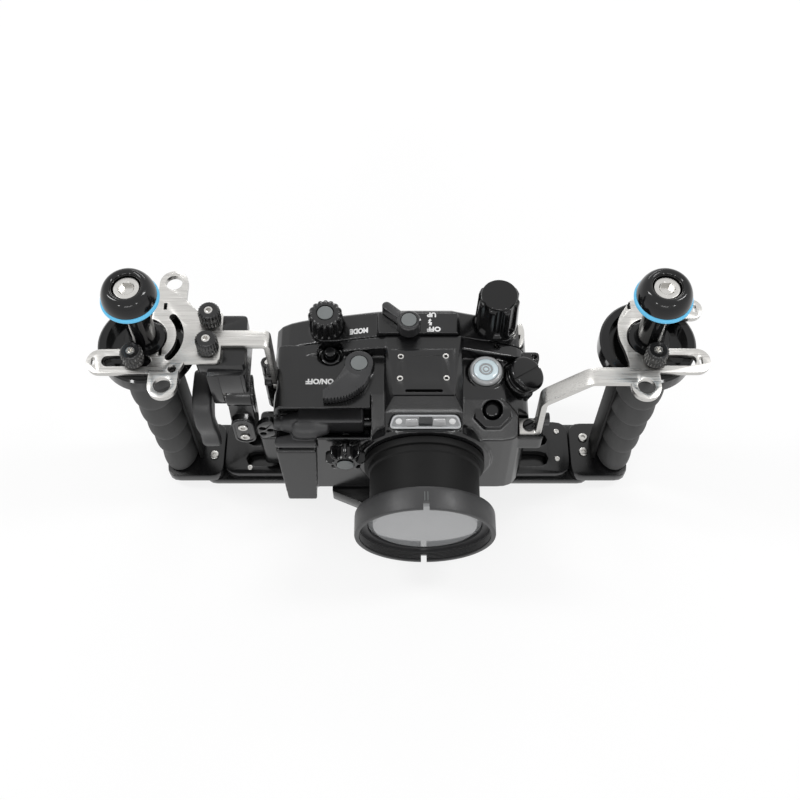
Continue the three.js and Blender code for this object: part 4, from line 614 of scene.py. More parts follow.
def slab(points, low, high, matrix=None):
    """Prism of an outline between two heights."""
    count = len(points)
    corners = [(x, y, low) for x, y in points] + [(x, y, high) for x, y in points]
    faces = [list(range(count))[::-1], list(range(count, 2 * count))]
    faces += [[i, (i + 1) % count, count + (i + 1) % count, count + i] for i in range(count)]
    return mesh_from(corners, faces, matrix)


def applied(holder):
    """Mesh of an object with its modifiers applied. The object goes."""
    bpy.context.view_layer.update()
    graph = bpy.context.evaluated_depsgraph_get()
    mesh = bpy.data.meshes.new_from_object(holder.evaluated_get(graph))
    bpy.data.objects.remove(holder)
    return mesh


def with_modifiers(mesh, *settings):
    """Mesh after a list of modifiers, each a type and its values."""
    holder = placed("whole", mesh)
    for kind, values in settings:
        modifier = holder.modifiers.new(kind.title(), kind)
        for key, value in values.items():
            setattr(modifier, key, value)
    return applied(holder)


def combined(base, others, operation):
    """Base mesh after a boolean step with each of the others."""
    tools = [placed("tool", other) for other in others]
    steps = [("BOOLEAN", {"operation": operation, "solver": "EXACT", "object": tool})
             for tool in tools]
    result = with_modifiers(base, *steps)
    for tool in tools:
        bpy.data.objects.remove(tool)
    return result


def without(base, *cutters):
    """Base mesh with others cut out of it."""
    return combined(base, cutters, "DIFFERENCE")


def softened(mesh, width, segments=2, sharp=30):
    """Mesh whose sharp edges are bevelled by a width in millimetres."""
    values = {"width": width * MM, "segments": segments, "limit_method": "ANGLE",
              "angle_limit": math.radians(sharp), "use_clamp_overlap": True}
    return with_modifiers(mesh, ("BEVEL", values))


def recast(mesh, cell, passes):
    """Closed mesh remade from small cells and relaxed, which rounds every edge."""
    cells = {"mode": "VOXEL", "voxel_size": cell, "adaptivity": 0.0}
    return with_modifiers(mesh, ("TRIANGULATE", {}), ("REMESH", cells),
                          ("SMOOTH", {"factor": 0.5, "iterations": passes}))


def merged(*meshes):
    """Several meshes as one."""
    whole = bmesh.new()
    for mesh in meshes:
        whole.from_mesh(mesh)
    result = bpy.data.meshes.new("shape")
    whole.to_mesh(result)
    whole.free()
    return result


def node_mesh(node):
    """Clean copy of a node's mesh."""
    copy = bmesh.new()
    copy.from_mesh(NODES[node].data)
    bmesh.ops.remove_doubles(copy, verts=copy.verts, dist=WELD)
    bmesh.ops.dissolve_limit(copy, angle_limit=math.radians(0.5), verts=copy.verts, edges=copy.edges)
    mesh = bpy.data.meshes.new("shape")
    copy.to_mesh(mesh)
    copy.free()
    return mesh


def dress(node, look, edge, sharp=30):
    """Stands a bevelled copy of a node's own solid in its place."""
    mesh = shade(softened(node_mesh(node), edge, sharp=sharp), 40)
    new_piece(f"{node}_finished", mesh, look, node)


def cast_skin(node, *pockets):
    """Shell whose edges are eased all over, as on a casting that is blasted and anodised."""
    cell = sizes().grain
    whole = without(node_mesh(node), *pockets) if pockets else node_mesh(node)
    new_piece(f"{node}_skin", shade(recast(whole, cell, sizes().easing), 60), "anodised", node)


# Port


def port_place():
    """The port's axis, looking forward."""
    centre = centre_mm("port_front_ring")
    return at_mm(centre.x, 0, centre.z) @ FORWARD


def depths(node):
    """Rear and front of a node, counted forwards."""
    low, high = box_mm(node)
    return -high.y, -low.y


class DIVE_OT_port(bpy.types.Operator):
    """Port barrel, threaded front ring and glass"""

    bl_idname = "dive.port"
    bl_label = "Port"

    def execute(self, context):
        self.barrel()
        self.front_ring()
        self.index_marks()
        self.glass()
        return {"FINISHED"}

    def barrel(self):
        back, front = depths("port_barrel")
        outer, lip, collar, flange = 28.5, 28.1, 29.4, 31.5
        shoulder = back + 3.7
        step = shoulder + 3
        profile = [
            (PORT_BORE, back), (flange, back, 0.4), (flange, shoulder, 0.8), (collar, shoulder, 0.3),
            (collar, step, 0.4), (outer, step + 0.9, 0.3), (outer, front - 1.4, 0.1),
            (lip, front - 1.2, 0.1), (lip, front, 0.2), (PORT_BORE, front, 0.3), (PORT_BORE, back),
        ]
        new_piece("port_barrel_turned", lathe(profile, port_place(), sharp=28), "void", "port_barrel")

    def front_ring(self):
        low, high = box_mm("port_front_ring")
        back, front = depths("port_front_ring")
        radius, bore, ledge = 36.0, 33.5, 29.3
        pitch, depth = 0.75, 0.42
        seat = back + 2.3
        shelf = seat + 4.2
        profile = [(PORT_BORE, back), (radius - 0.2, back, 0.9), (radius, back + 1.6, 0.5),
                   (radius, front, 0.7), (bore, front, 0.5)]
        height = front - 1.0
        while height - pitch > shelf + 0.4:
            profile += [(bore, height, 0), (bore + depth, height - pitch / 2, 0)]
            height -= pitch
        profile += [(bore, height, 0), (bore, shelf, 0.2), (ledge, shelf, 0.2), (ledge, seat, 0.2),
                    (PORT_BORE, seat, 0.2), (PORT_BORE, back)]
        ring = turned(eased(profile, 0.2, 2), port_place())
        middle, half, run = centre_mm("port_front_ring").x, 1.5, 4
        notch = slab(rectangle(middle - half, middle + half, low.y - 2, low.y + run),
                     low.z - run, high.z + run)
        mesh = shade(without(ring, notch), 28)
        new_piece("port_front_ring_turned", mesh, "plastic", "port_front_ring")

    def index_marks(self):
        low, high = box_mm("port_front_ring")
        middle, half, thick = centre_mm("port_front_ring").x, 0.9, 0.3
        outline = rectangle(middle - half, middle + half, low.y + 4.3, low.y + 9)
        marks = [slab(outline, level, level + thick) for level in (low.z + 0.02, high.z - 0.32)]
        new_piece("port_index_marks", merged(*marks), "cap")

    def glass(self):
        back, front = depths("port_glass")
        radius, face = 29, 26.4
        profile = [(0, back), (radius, back, 0.3), (radius, front - 1.5, 0.3), (face, front, 0.6),
                   (0, front)]
        mesh = lathe(profile, port_place(), 0.3, sharp=25)
        # Opaque glass whose grey is a painted reflection
        new_piece("port_glass_ground", mesh, "port_glass", "port_glass")


# Handles


class DIVE_OT_handles(bpy.types.Operator):
    """Feet, spines, stacked-ring grips and milled heads"""

    bl_idname = "dive.handles"
    bl_label = "Handles"

    def execute(self, context):
        for word in ("left", "right"):
            self.grip(word)
            self.head(word)
            dress(f"{word}_handle_foot", "anodised", 0.6)
            self.spine(word)
        return {"FINISHED"}

    def grip(self, word):
        low, high = box_mm(f"{word}_handle_grip")
        centre = centre_mm(f"{word}_handle_grip")
        rings = (0.25, 0.18, 0.18, 0.195, 0.195)
        # Share of a ring's radius, share of its height, shift in height and rounding
        bulge = ((0.9, 0, 0.1, 0.5), (0.99, 0.05, 0, 0.8), (1, 0.18, 0, 3),
                 (0.95, 0.42, 0, 4), (0.84, 0.7, 0, 4), (0.68, 1, -0.1, 0.4))
        narrow, wide = 9.9, (high.x - low.x) / 2 + 0.7
        profile = [(0, low.z), (narrow * 0.9, low.z, 0.4)]
        level = low.z
        for index, share in enumerate(rings):
            height = (high.z - low.z) * share
            radius = narrow + (wide - narrow) * index / (len(rings) - 1)
            profile += [(radius * out, level + height * up + shift, easing)
                        for out, up, shift, easing in bulge]
            level += height
        profile += [(wide * 0.86, high.z, 0.4), (0, high.z)]
        depth = (high.y - low.y) / (high.x - low.x)
        matrix = at_mm(centre.x, centre.y, 0) @ Matrix.Diagonal((1, depth, 1, 1))
        mesh = lathe(profile, matrix, 0.5, sharp=50)
        new_piece(f"{word}_grip_rubber", mesh, "rubber", f"{word}_handle_grip")

    def spine(self, word):
        low, high = box_mm(f"{word}_handle_spine")
        side = 1 if word == "right" else -1
        inner, outer = sorted((side * 109.0, side * 110.8))
        strip = softened(slab(rectangle(inner, outer, low.y, low.y + 14), low.z, high.z), 0.6)
        new_piece(f"{word}_spine_strip", shade(strip), "void", f"{word}_handle_spine")

    def head(self, word):
        low, high, place = standing(f"{word}_handle_head")
        x, y = (low.x + high.x) / 2, (low.y + high.y) / 2
        radius, groove, boss, floor, edge = 23.3, 19.0, 11.6, high.z - 5, 0.6
        disc = turned([(0, low.z), (radius - edge, low.z), (radius, low.z + edge), (radius, high.z - 1),
                       (radius - 1, high.z), (0, high.z)], place)
        cutters = []
        for start, end in ((-48, 46), (62, 232)):
            shape = arc(x, y, groove, start, end, 40) + arc(x, y, boss, end, start, 24)
            cutters.append(slab(shape, floor, high.z + OVERRUN))
        screw = centre_mm(f"{word}_clamp_screw")
        cutters.append(slab(ring_of(screw.x, screw.y, 2.6, 32), high.z - 6.3, high.z + OVERRUN))
        mesh = shade(softened(without(disc, *cutters), 0.7, 3), 35)
        new_piece(f"{word}_head_milled", mesh, "gloss", f"{word}_handle_head")


# Ball mounts


class DIVE_OT_ball_mounts(bpy.types.Operator):
    """Ball mounts with their blue rings and socket bolts"""

    bl_idname = "dive.ball_mounts"
    bl_label = "Ball mounts"

    def execute(self, context):
        for word in ("left", "right"):
            low, _, place = standing(f"{word}_ball_mount")
            self.mount(word, place, low.z)
            self.ring(word, place)
            self.bolt(word, place)
        return {"FINISHED"}

    def mount(self, word, place, foot):
        radius, stem, bore, brow = 12.7, 6.5, 6.5, 10.9
        flange, cone, half, reach = 10, 7.3, 1.5, 10.65
        middle = foot + 37.7
        groove, floor = middle - 1.8, middle + 0.83

        def ball(start, end, steps=10):
            heights = [start + (end - start) * step / steps for step in range(steps + 1)]
            return [(math.sqrt(max(radius ** 2 - (height - middle) ** 2, 0)), height, 0)
                    for height in heights]

        neck = middle - math.sqrt(radius ** 2 - stem ** 2)
        top = middle + math.sqrt(radius ** 2 - brow ** 2)
        profile = [(0, foot), (flange, foot, 0.4), (flange, foot + 2.2, 0.6), (cone, foot + 2.5, 0.3),
                   (cone, foot + 3, 0.3), (stem, foot + 10, 3), (stem, neck, 0.6)]
        profile += ball(neck + 0.3, groove - half)
        profile += [(reach, groove - half, 0.2), (reach, groove + half, 0.2)]
        profile += ball(groove + half, top)
        rim = [(brow, top), (9.4, top + 2.5), (bore + 0.1, top + 2.8), (bore, top - 0.4)]
        profile += [(*bezier(rim, step / 12), 0) for step in range(1, 12)]
        profile += [(bore, top - 0.4, 0), (bore, floor, 0.3), (0, floor)]
        new_piece(f"{word}_ball_turned", lathe(profile, place, sharp=28), "gloss", f"{word}_ball_mount")

    def ring(self, word, place):
        low, high = box_mm(f"{word}_ball_ring")
        loop = arc(11.95, (low.z + high.z) / 2, 1.6, 0, 360, 20)
        new_piece(f"{word}_blue_ring", shade(turned(loop, place), 60), "ring", f"{word}_ball_ring")

    def bolt(self, word, place):
        low, high = box_mm(f"{word}_ball_bolt")
        radius, top, run = 6.1, high.z + 1.2, 1
        head = turned(eased([(0, low.z), (radius, low.z, 0.2), (radius, top, 0.8), (0, top)], 0.2), place)
        socket = slab(ring_of(0, 0, 3.5, 6), top - 2.6, top + OVERRUN, place)
        lead = turned([(0, top - 0.5), (3.2, top - 0.5), (4.0, top + 0.3), (4.0, top + run),
                       (0, top + run)], place, 48)
        mesh = shade(without(head, socket, lead))
        new_piece(f"{word}_bolt_bright", mesh, "bright", f"{word}_ball_bolt")


# Stainless brackets


def window_outline(x, y):
    """Small rectangular window in the sheet."""
    wide, long = 1.7, 4.0
    return rounded(rectangle(x - wide / 2, x + wide / 2, y - long / 2, y + long / 2), 0.35, 3)


def bent_strip(points, bend, steps=6):
    """Outline of the sheet seen on edge, from the line of its middle."""
    left, right = [], []
    for index, point in enumerate(points):
        here = Vector(point)
        before = Vector(points[max(index - 1, 0)])
        after = Vector(points[min(index + 1, len(points) - 1)])
        arriving = (here - before).normalized() if index else (after - here).normalized()
        leaving = (after - here).normalized() if index < len(points) - 1 else arriving
        across = (arriving + leaving).normalized()
        reach = SHEET / 2 / max(across.dot(arriving), 0.05)
        radii = [bend, bend + SHEET] if arriving.cross(leaving) > 0 else [bend + SHEET, bend]
        if index in (0, len(points) - 1):
            radii = [0, 0]
        left.append((here.x - across.y * reach, here.y + across.x * reach, radii[0]))
        right.append((here.x + across.y * reach, here.y - across.x * reach, radii[1]))
    return rounded(left + right[::-1], 0, steps)


class DIVE_OT_brackets(bpy.types.Operator):
    """The two cut and bent stainless brackets"""

    bl_idname = "dive.brackets"
    bl_label = "Brackets"

    def execute(self, context):
        self.left()
        self.right()
        return {"FINISHED"}

    def sheet(self, word, body, arms, strap, holes, *cutters):
        """Joins the arms and the bent strap to the body, cuts the holes and eases the edges."""
        top = box_mm(f"{word}_bracket")[1].z
        base = top - SHEET
        flat = [slab(outline, base, top) for outline in (body, *arms)]
        whole = combined(flat[0], [*flat[1:], strap], "UNION")
        through = [slab(hole, base - OVERRUN, top + OVERRUN) for hole in holes]
        peg = centre_mm(f"{word}_bracket_peg")
        bore = rod(1.4, peg.x - 12, peg.x + 12, at_mm(0, peg.y, peg.z) @ SIDEWAYS)
        mesh = softened(without(whole, *through, *cutters, bore), 0.22, sharp=35)
        new_piece(f"{word}_bracket_steel", shade(mesh), "steel", f"{word}_bracket")

    def left(self):
        low, high = box_mm("left_bracket")
        base = high.z - SHEET
        level = base + SHEET / 2
        loop_x, slot_y, hub_x = -110.4, -18.3, -121.5
        body = rounded([(-119, -25), (-103.4, -25, 3), (-103.4, -18.6, 3), (-84.4, -18.6, 3),
                        (-84.4, 9.6, 3), (-97, 9.6, 3), (-103.6, 17.5, 4), (-119, 17.5, 1)])
        arms = [pill(loop_x, 10.5, loop_x, 27, LOOP), pill(-110.5, -31.4, -110.5, slot_y, LOOP),
                pill(-141.2, slot_y, -108, slot_y, ARM)]
        strap = slab(bent_strip([(-87.4, level), (-62.7, level), (-62.7, low.z)], 1.2), 1, 9.6, FORWARD)
        holes = [ring_of(hub_x, -5, HUB_NOTCH, 64), ring_of(loop_x, 27, LOOP_HOLE),
                 ring_of(-110.5, -31.4, LOOP_HOLE), pill(-137.6, slot_y, -120, slot_y, ARM_SLOT),
                 curved_slot(hub_x, -4.7, 17, 1.85, 42), window_outline(-113.2, 13),
                 window_outline(-113.2, -13.2), window_outline(-144.6, slot_y),
                 ring_of(-106.6, -22.6, 2.1, 24)]
        for node in ("bearing_screw_rear", "bearing_screw_front"):
            screw = centre_mm(node)
            holes.append(ring_of(screw.x, screw.y, 2.6, 24))
        taper = slab([(-12, 66), (-4.2, 66), (-9.6, base), (-12, base)], -66, -58, ACROSS)
        self.sheet("left", body, arms, strap, holes, taper)

    def right(self):
        low, high = box_mm("right_bracket")
        level = high.z - SHEET / 2
        foot = low.z + SHEET / 2
        hub_x, rear_y, slot_y, loop_x = 121.5, 11.6, -17.9, 117.4
        body = rounded([(114.6, 17.3, 3), (106.8, 4.6, 6.6), (106.8, -5.3, 6.6), (109.4, -13, 3),
                        (111, -21.9, 3), (111, -30.4), (124.4, -30.4), (124.4, slot_y), (hub_x, -5),
                        (hub_x, 17.3)])
        arms = [pill(hub_x, rear_y, 143.4, rear_y, 5.7), pill(118, slot_y, 142.7, slot_y, ARM),
                pill(loop_x, -32, loop_x, slot_y, LOOP)]
        line = [(114, level), (92.5, level), (72.1, 99), (72.1, foot), (low.x, foot)]
        strap = slab(bent_strip(line, 1.0), 21.9, 30.4, FORWARD)
        holes = [ring_of(hub_x, -5, HUB_NOTCH, 64), ring_of(loop_x, -32, LOOP_HOLE),
                 pill(122.6, slot_y, 139.6, slot_y, ARM_SLOT), window_outline(145.4, rear_y),
                 window_outline(144.7, slot_y), window_outline(113.4, 13.3)]
        self.sheet("right", body, arms, strap, holes)


# Screws


def ridges(count, sharpness=1.0):
    """Cut round a toothed edge, 0 on a ridge."""
    return lambda angle, depth: depth * abs(math.sin(angle * count / 2)) ** sharpness


def screw_head(matrix, radius, height, dome, hole, floor):
    """Domed head on the origin of its matrix, with a hole cut down to a share of its height."""
    profile = [(0, 0), (radius, 0, 0.1), (radius, height, height * dome), (0, height)]
    cutter = slab(hole, height * floor, height + 1, matrix)
    return without(turned(eased(profile, 0.1, 4), matrix, 32), cutter)


def hex_screw(matrix, radius, height, socket):
    """Button screw with a hex socket."""
    return screw_head(matrix, radius, height, 0.7, ring_of(0, 0, socket, 6), 0.35)


def screw_ring(matrix, outer, inner, height):
    """Flat screw: a bright ring round its socket, whose dark is a painted shade disc set in below."""
    profile = [(inner, 0), (outer, 0, 0.1), (outer, height, 0.25), (inner + 0.15, height, 0.1),
               (inner, height - 0.2, 0), (inner, 0)]
    return turned(eased(profile, 0.1), matrix, 32)


class DIVE_OT_screws(bpy.types.Operator):
    """Knurled screws, pegs and the small stainless screws"""

    bl_idname = "dive.screws"
    bl_label = "Screws"

    def execute(self, context):
        nodes = ("left_clamp_screw", "right_clamp_screw", "bearing_screw_rear", "bearing_screw_front")
        inserts = [self.knurled(node) for node in nodes]
        new_piece("knurled_screw_sockets", shade(merged(*inserts)), "bright")
        self.small_screws()
        dress("left_bracket_peg", "plastic", 0.3)
        dress("right_bracket_peg", "plastic", 0.4)
        return {"FINISHED"}

    def knurled(self, node):
        """Knurled head in two bands. Returns the bright insert in its top."""
        low, high, place = standing(node)
        foot, top = high.z - 9.4, high.z
        radius, tooth, count, shank, well = 5.35, 0.45, 24, 2.3, 2.3
        levels = [(0, low.z), (shank - 0.1, low.z), (shank, low.z + 0.4), (shank, foot),
                  (radius - 1.0, foot), (radius - 0.6, foot + 0.35), (radius - 0.2, foot + 0.9),
                  (radius, foot + 1.5, tooth), (radius, foot + 3.6, tooth), (radius - 0.5, foot + 4.0),
                  (radius - 0.5, foot + 4.5), (radius, foot + 4.9, tooth), (radius, top - 1.3, tooth),
                  (radius - 0.6, top - 0.5, 0.1), (radius - 1.2, top), (0, top)]
        body = turned(levels, place, count * 6, ridges(count, 0.8))
        mesh = without(body, rod(well, top - 2.6, top + 1, place, 32))
        new_piece(f"{node}_knurled", shade(mesh), "anodised", node)
        insert = turned([(0, top - 2.5), (2.2, top - 2.5), (2.2, top - 0.4), (2.0, top - 0.2),
                         (0, top - 0.2)], place, 32)
        return without(insert, slab(ring_of(0, 0, 1.35, 6), top - 2.2, top + 1, place))

    def small_screws(self):
        foot, plate = box_mm("right_handle_foot")[1].z, box_mm("tray_top_plate")[1].z
        rows = (
            (foot, 2.6, 1.3, 1.3, ((105.2, -3), (104.9, -12), (-103, -14), (-103.4, -4))),
            (plate, 1.5, 0.6, 0.7, ((90.6, 1.6), (90.1, -15.8), (-82.5, -21.2), (-90.6, 1.6))),
        )
        heads = [hex_screw(at_mm(x, y, level), radius, height, socket)
                 for level, radius, height, socket, spots in rows for x, y in spots]
        new_piece("stainless_screws", shade(merged(*heads)), "bright")
        place = at_mm(67.4, -26.4, box_mm("right_bracket")[0].z + SHEET)
        reach, half = 3.84, 0.4
        turn = Matrix.Rotation(0.5, 2)
        slot = [tuple(turn @ Vector(corner)) for corner in rectangle(-reach, reach, -half, half)]
        screw = screw_head(place, 3.2, 2.0, 0.6, slot, 0.4)
        new_piece("bracket_foot_screw", shade(screw), "gloss")


# Knobs and wheels


class DIVE_OT_knobs(bpy.types.Operator):
    """Locking knob, mode knob, front wheel and rear dial with their grey caps"""

    bl_idname = "dive.knobs"
    bl_label = "Knobs"

    def execute(self, context):
        self.latch()
        self.mode()
        self.front_wheel()
        self.rear_dial()
        return {"FINISHED"}

    def latch(self):
        """Tall knob with round-shouldered ridges below a clean disc."""
        low, high, place = standing("latch_knob")
        foot, top = high.z - 26.7, high.z
        wide, narrow, core, shank, count = 11.0, 10.5, 9.15, 2.6, 8
        skirt, height = foot + 3.0, 2.4
        shoulder = top - 1.5 - height
        levels = [(0, low.z), (shank, low.z), (shank, foot), (wide - 0.7, foot), (wide, foot + 0.6),
                  (wide, skirt)]
        for step in range(1, 6):
            cut = (wide - core) * math.sin(math.pi / 10 * step)
            levels.append((wide, skirt + step * 0.5, cut))
        levels += [(narrow, top - 6.5, narrow - core), (narrow, shoulder, narrow - core)]
        for step in range(1, 9):
            turn = math.pi / 2 * step / 8
            rise = (narrow - core) * math.cos(turn)
            levels.append((core + rise, shoulder + height * math.sin(turn), rise))
        levels += [(core, top - 0.7), (core - 0.15, top - 0.3), (core - 0.45, top), (0, top)]

        def valley(angle, depth):
            return depth * smooth(0.42 + 1.15 * math.cos((angle + math.pi / 2) * count))

        mesh = shade(turned(levels, place, count * 32, valley), 33)
        new_piece("latch_knob_fluted", mesh, "gloss", "latch_knob")
        dress("latch_hook", "bright", 0.15)

    def mode(self):
        low, high, place = standing("mode_knob")
        foot, top, radius, lobes, depth = high.z - 13, high.z, 8.85, 16, 1.1
        levels = [(0, low.z), (STEM, low.z), (STEM, foot), (radius - 1, foot), (radius - 0.1, foot + 0.6),
                  (radius, foot + 1.4, 0.2), (radius, foot + 2.2, depth), (radius, top - 2.4, depth),
                  (radius - 0.3, top - 1.4, depth * 0.9), (radius - 1.0, top - 0.4, depth * 0.7),
                  (radius - 1.9, top, depth * 0.3), (4.6, top), (4.4, top - 0.9), (0, top - 0.9)]

        def lobe(angle, depth):
            return depth * (0.5 - 0.5 * math.cos(angle * lobes)) ** 1.6

        mesh = shade(turned(levels, place, lobes * 12, lobe), 33)
        new_piece("mode_knob_fluted", mesh, "anodised", "mode_knob")
        round_cap("mode_knob_cap")

    def front_wheel(self):
        _, _, place = facing("front_knob")
        inner, front = depths("front_knob")
        back, face, radius, fins = front - 7.6, front - 0.5, 10.2, 8
        levels = [(0, inner), (STEM, inner), (STEM, back), (7.6, back, 1.4), (9.6, back + 0.5, 3.2),
                  (radius, back + 1.2, 3.8), (radius, front - 2.2, 3.8), (9.8, front - 1.2, 3.4),
                  (8.8, front - 0.4, 2.6), (7.4, front, 1.2), (6.3, front), (5.0, front), (4.6, face),
                  (0, face)]

        def gap(angle, depth):
            return depth * smooth(0.5 + 1.5 * (0.62 - math.cos(angle * fins)))

        mesh = shade(turned(levels, place, fins * 24, gap), 33)
        new_piece("front_knob_finned", mesh, "gloss", "front_knob")
        round_cap("front_knob_cap", forward=True)

    def rear_dial(self):
        low, high, place = facing("rear_dial", REARWARD)
        back, foot, radius, tooth, teeth = high.y, high.y - 5.2, 8.6, 0.5, 28
        levels = [(0, low.y), (STEM, low.y), (STEM, foot), (radius - 1, foot), (radius - 0.3, foot + 0.5),
                  (radius, foot + 1, tooth), (radius, back - 1, tooth), (radius - 0.4, back - 0.4, 0.2),
                  (radius - 1, back), (5.6, back), (5.2, back - 0.8), (0, back - 0.5)]
        mesh = shade(turned(levels, place, teeth * 6, ridges(teeth)), 33)
        new_piece("rear_dial_knurled", mesh, "anodised", "rear_dial")


def round_cap(node, forward=False):
    """Grey disc with a slightly domed face and a fine rim."""
    low, high, place = facing(node) if forward else standing(node)
    bottom, top = (-high.y, -low.y) if forward else (low.z, high.z)
    radius, thick = (high.x - low.x) / 2, top - bottom
    profile = [(0, bottom), (radius, bottom, 0), (radius, top - thick * 0.25, 0.1),
               (radius - 0.25, top - thick * 0.05, 0.1), (radius * 0.6, top, 1), (0, top)]
    new_piece(f"{node}_disc", lathe(profile, place, 0.1, 48), "cap", node)


# Levers


class DIVE_OT_levers(bpy.types.Operator):
    """Flash lever, zoom lever, shutter lever and its yoke"""

    bl_idname = "dive.levers"
    bl_label = "Levers"

    def execute(self, context):
        # The levers take the lighter copy of the anodised black, a painted highlight on their tops
        dress("flash_lever", "lever", 0.3)
        self.zoom()
        self.shutter()
        dress("lever_yoke", "anodised", 0.3)
        round_cap("flash_lever_cap")
        round_cap("zoom_lever_cap")
        return {"FINISHED"}

    def toothed_edge(self, curve, count=96, teeth=24, depth=0.7):
        """Points along a curve that is cut into teeth on its later part."""
        edge = []
        for step in range(count + 1):
            share = step / count
            x, y = bezier(curve, share)
            following = Vector(bezier(curve, min(share + 0.01, 1)))
            ahead = following - Vector(bezier(curve, max(share - 0.01, 0)))
            inward = Vector((ahead.y, -ahead.x)).normalized()
            grown = min(max((share - 0.38) / 0.08, 0), 1)
            cut = depth * abs(math.sin(math.pi * share * teeth)) * grown
            edge.append((x + inward.x * cut, y + inward.y * cut))
        return edge

    def zoom(self):
        """Hub and curved paddle with a toothed edge."""
        low, high = box_mm("zoom_lever")
        centre = centre_mm("zoom_lever_cap")
        cap, top = at_mm(centre.x, centre.y, 0), high.z
        radius, well, foot, floor = 7.2, 4.6, top - 4.7, top - 0.7
        outer = self.toothed_edge([(-12.1, -1.0), (-14.5, -23.5), (-36.8, -22.8)])
        inner = [(-26.3, -3.5), (-28.4, -8.0), (-31.1, -12.1), (-34.2, -15.4), (-37.0, -17.6)]
        paddle = slab(outer[::-1] + inner, top - 5.6, top - 0.05)
        hub = [(0, foot), (radius, foot), (radius, top, 0.4), (well, top), (well, floor), (0, floor)]
        hub = turned(eased(hub, 0.2), cap, 64)
        blade = without(paddle, rod(well, top - 0.75, top + 1, cap, 64))
        shank = rod(STEM, low.z, top - 4, cap)
        mesh = merged(softened(blade, 0.22, sharp=40), hub, shank)
        # The paddle takes the lighter copy of the anodised black: painted highlight
        new_piece("zoom_lever_paddle", shade(mesh), "lever", "zoom_lever")

    def shutter(self):
        """Bottle-shaped barrel with a belly, and the lip that the finger pulls."""
        low, high = box_mm("shutter_lever")
        left, right, front, rear = -50.5, high.x - 6.5, -27.6, low.y + 16.9
        base, middle = low.z + 0.1, (low.z + high.z) / 2
        axis = at_mm(0, -24.9, middle) @ SIDEWAYS
        barrel = softened(slab(rectangle(left, right, front, rear), base, high.z), 1.0, 4)
        neck = [(0, low.x), (3.4, low.x, 0.4), (3.4, -59.5, 1), (4.0, -58.6, 1), (6.1, -52, 2),
                (6.1, -46), (0, -46)]
        belly = [(0, -53.6), (5.0, -53.6, 2), (6.2, -50.2, 3), (6.2, -42.6, 4), (4.4, -37.6, 3),
                 (3.4, -35, 1), (0, -34)]
        lip = rounded([(low.x + 0.2, low.y + 0.2, 2.2), (-41.2, low.y + 0.2, 1), (-41.2, -28.6, 1.5),
                       (-52, -28.6, 1), (low.x + 0.6, -31.4, 1.4)], 1)
        whole = merged(barrel, turned(eased(neck, 0.3), axis, 48),
                       turned(eased(belly, 1), at_mm(0, -27.3, middle) @ SIDEWAYS, 48),
                       softened(slab(lip, base, low.z + 3.3), 0.9, 3), rod(1.6, right - 2, high.x, axis))
        cell = 0.32
        new_piece("shutter_lever_barrel", shade(recast(whole, cell * MM, 3), 60), "plastic", "shutter_lever")


# Buttons


class DIVE_OT_buttons(bpy.types.Operator):
    """Push buttons"""

    bl_idname = "dive.buttons"
    bl_label = "Buttons"

    def execute(self, context):
        low, high, place = standing("power_button")
        crown = [(3, high.z - 1.2, 0.3), (2.7, high.z, 0.5), (0, high.z)]
        self.push("power_button", "power_button_turned", place, "gloss", low.z, low.z + 9, crown)
        self.port_lock()
        for spot in ("upper_left", "upper_right", "lower_left", "lower_right"):
            node = f"rear_button_{spot}"
            low, high, place = facing(node, REARWARD)
            crown = [(3.1, high.y - 0.5, 0.8), (1.8, high.y, 1), (0, high.y)]
            self.push(node, f"{node}_domed", place, "anodised", low.y, high.y - 3.3, crown)
        return {"FINISHED"}

    def push(self, node, name, place, look, inner, foot, crown):
        """Thin stem below a head as wide as the foot of its crown."""
        stem = [(0, inner), (STEM, inner, 0.2), (STEM, foot, 0.1), (crown[0][0], foot, 0.2)]
        new_piece(name, lathe(stem + crown, place, steps=48), look, node)

    def port_lock(self):
        radius, half, tilt = 4.35, 1.8, 28
        place = at_mm(*centre_mm("port_lock_button")) @ Matrix.Rotation(math.radians(tilt), 4, "X")
        dome = [(0, -half), (radius, -half, 0.3), (radius, 0.6, 0.8), (2.6, 1.6, 1.2), (0, half)]
        new_piece("port_lock_button_domed", lathe(dome, place, 0.3, 48, 40), "gloss", "port_lock_button")


# Fittings on the shell


def frustum(floor, rim, low, high):
    """Cutter with leaning walls between a floor and a rim, each left, right, front and rear."""
    points = []
    for sides, level in ((floor, low), (rim, high)):
        points += [(x, y, level) for x, y in rectangle(*sides)]
    faces = [(3, 2, 1, 0), (4, 5, 6, 7), (0, 1, 5, 4), (1, 2, 6, 5), (2, 3, 7, 6), (3, 0, 4, 7)]
    return mesh_from(points, faces)


def pad_outline(inset=0.0):
    """Top of the hump, drawn in."""
    return rounded([(-3.1 + inset, 4.2 - inset), (-2.1 + inset, -22.3 + inset),
                    (28.8 - inset, -22.3 + inset), (29.8 - inset, 4.4 - inset)], 0.6)


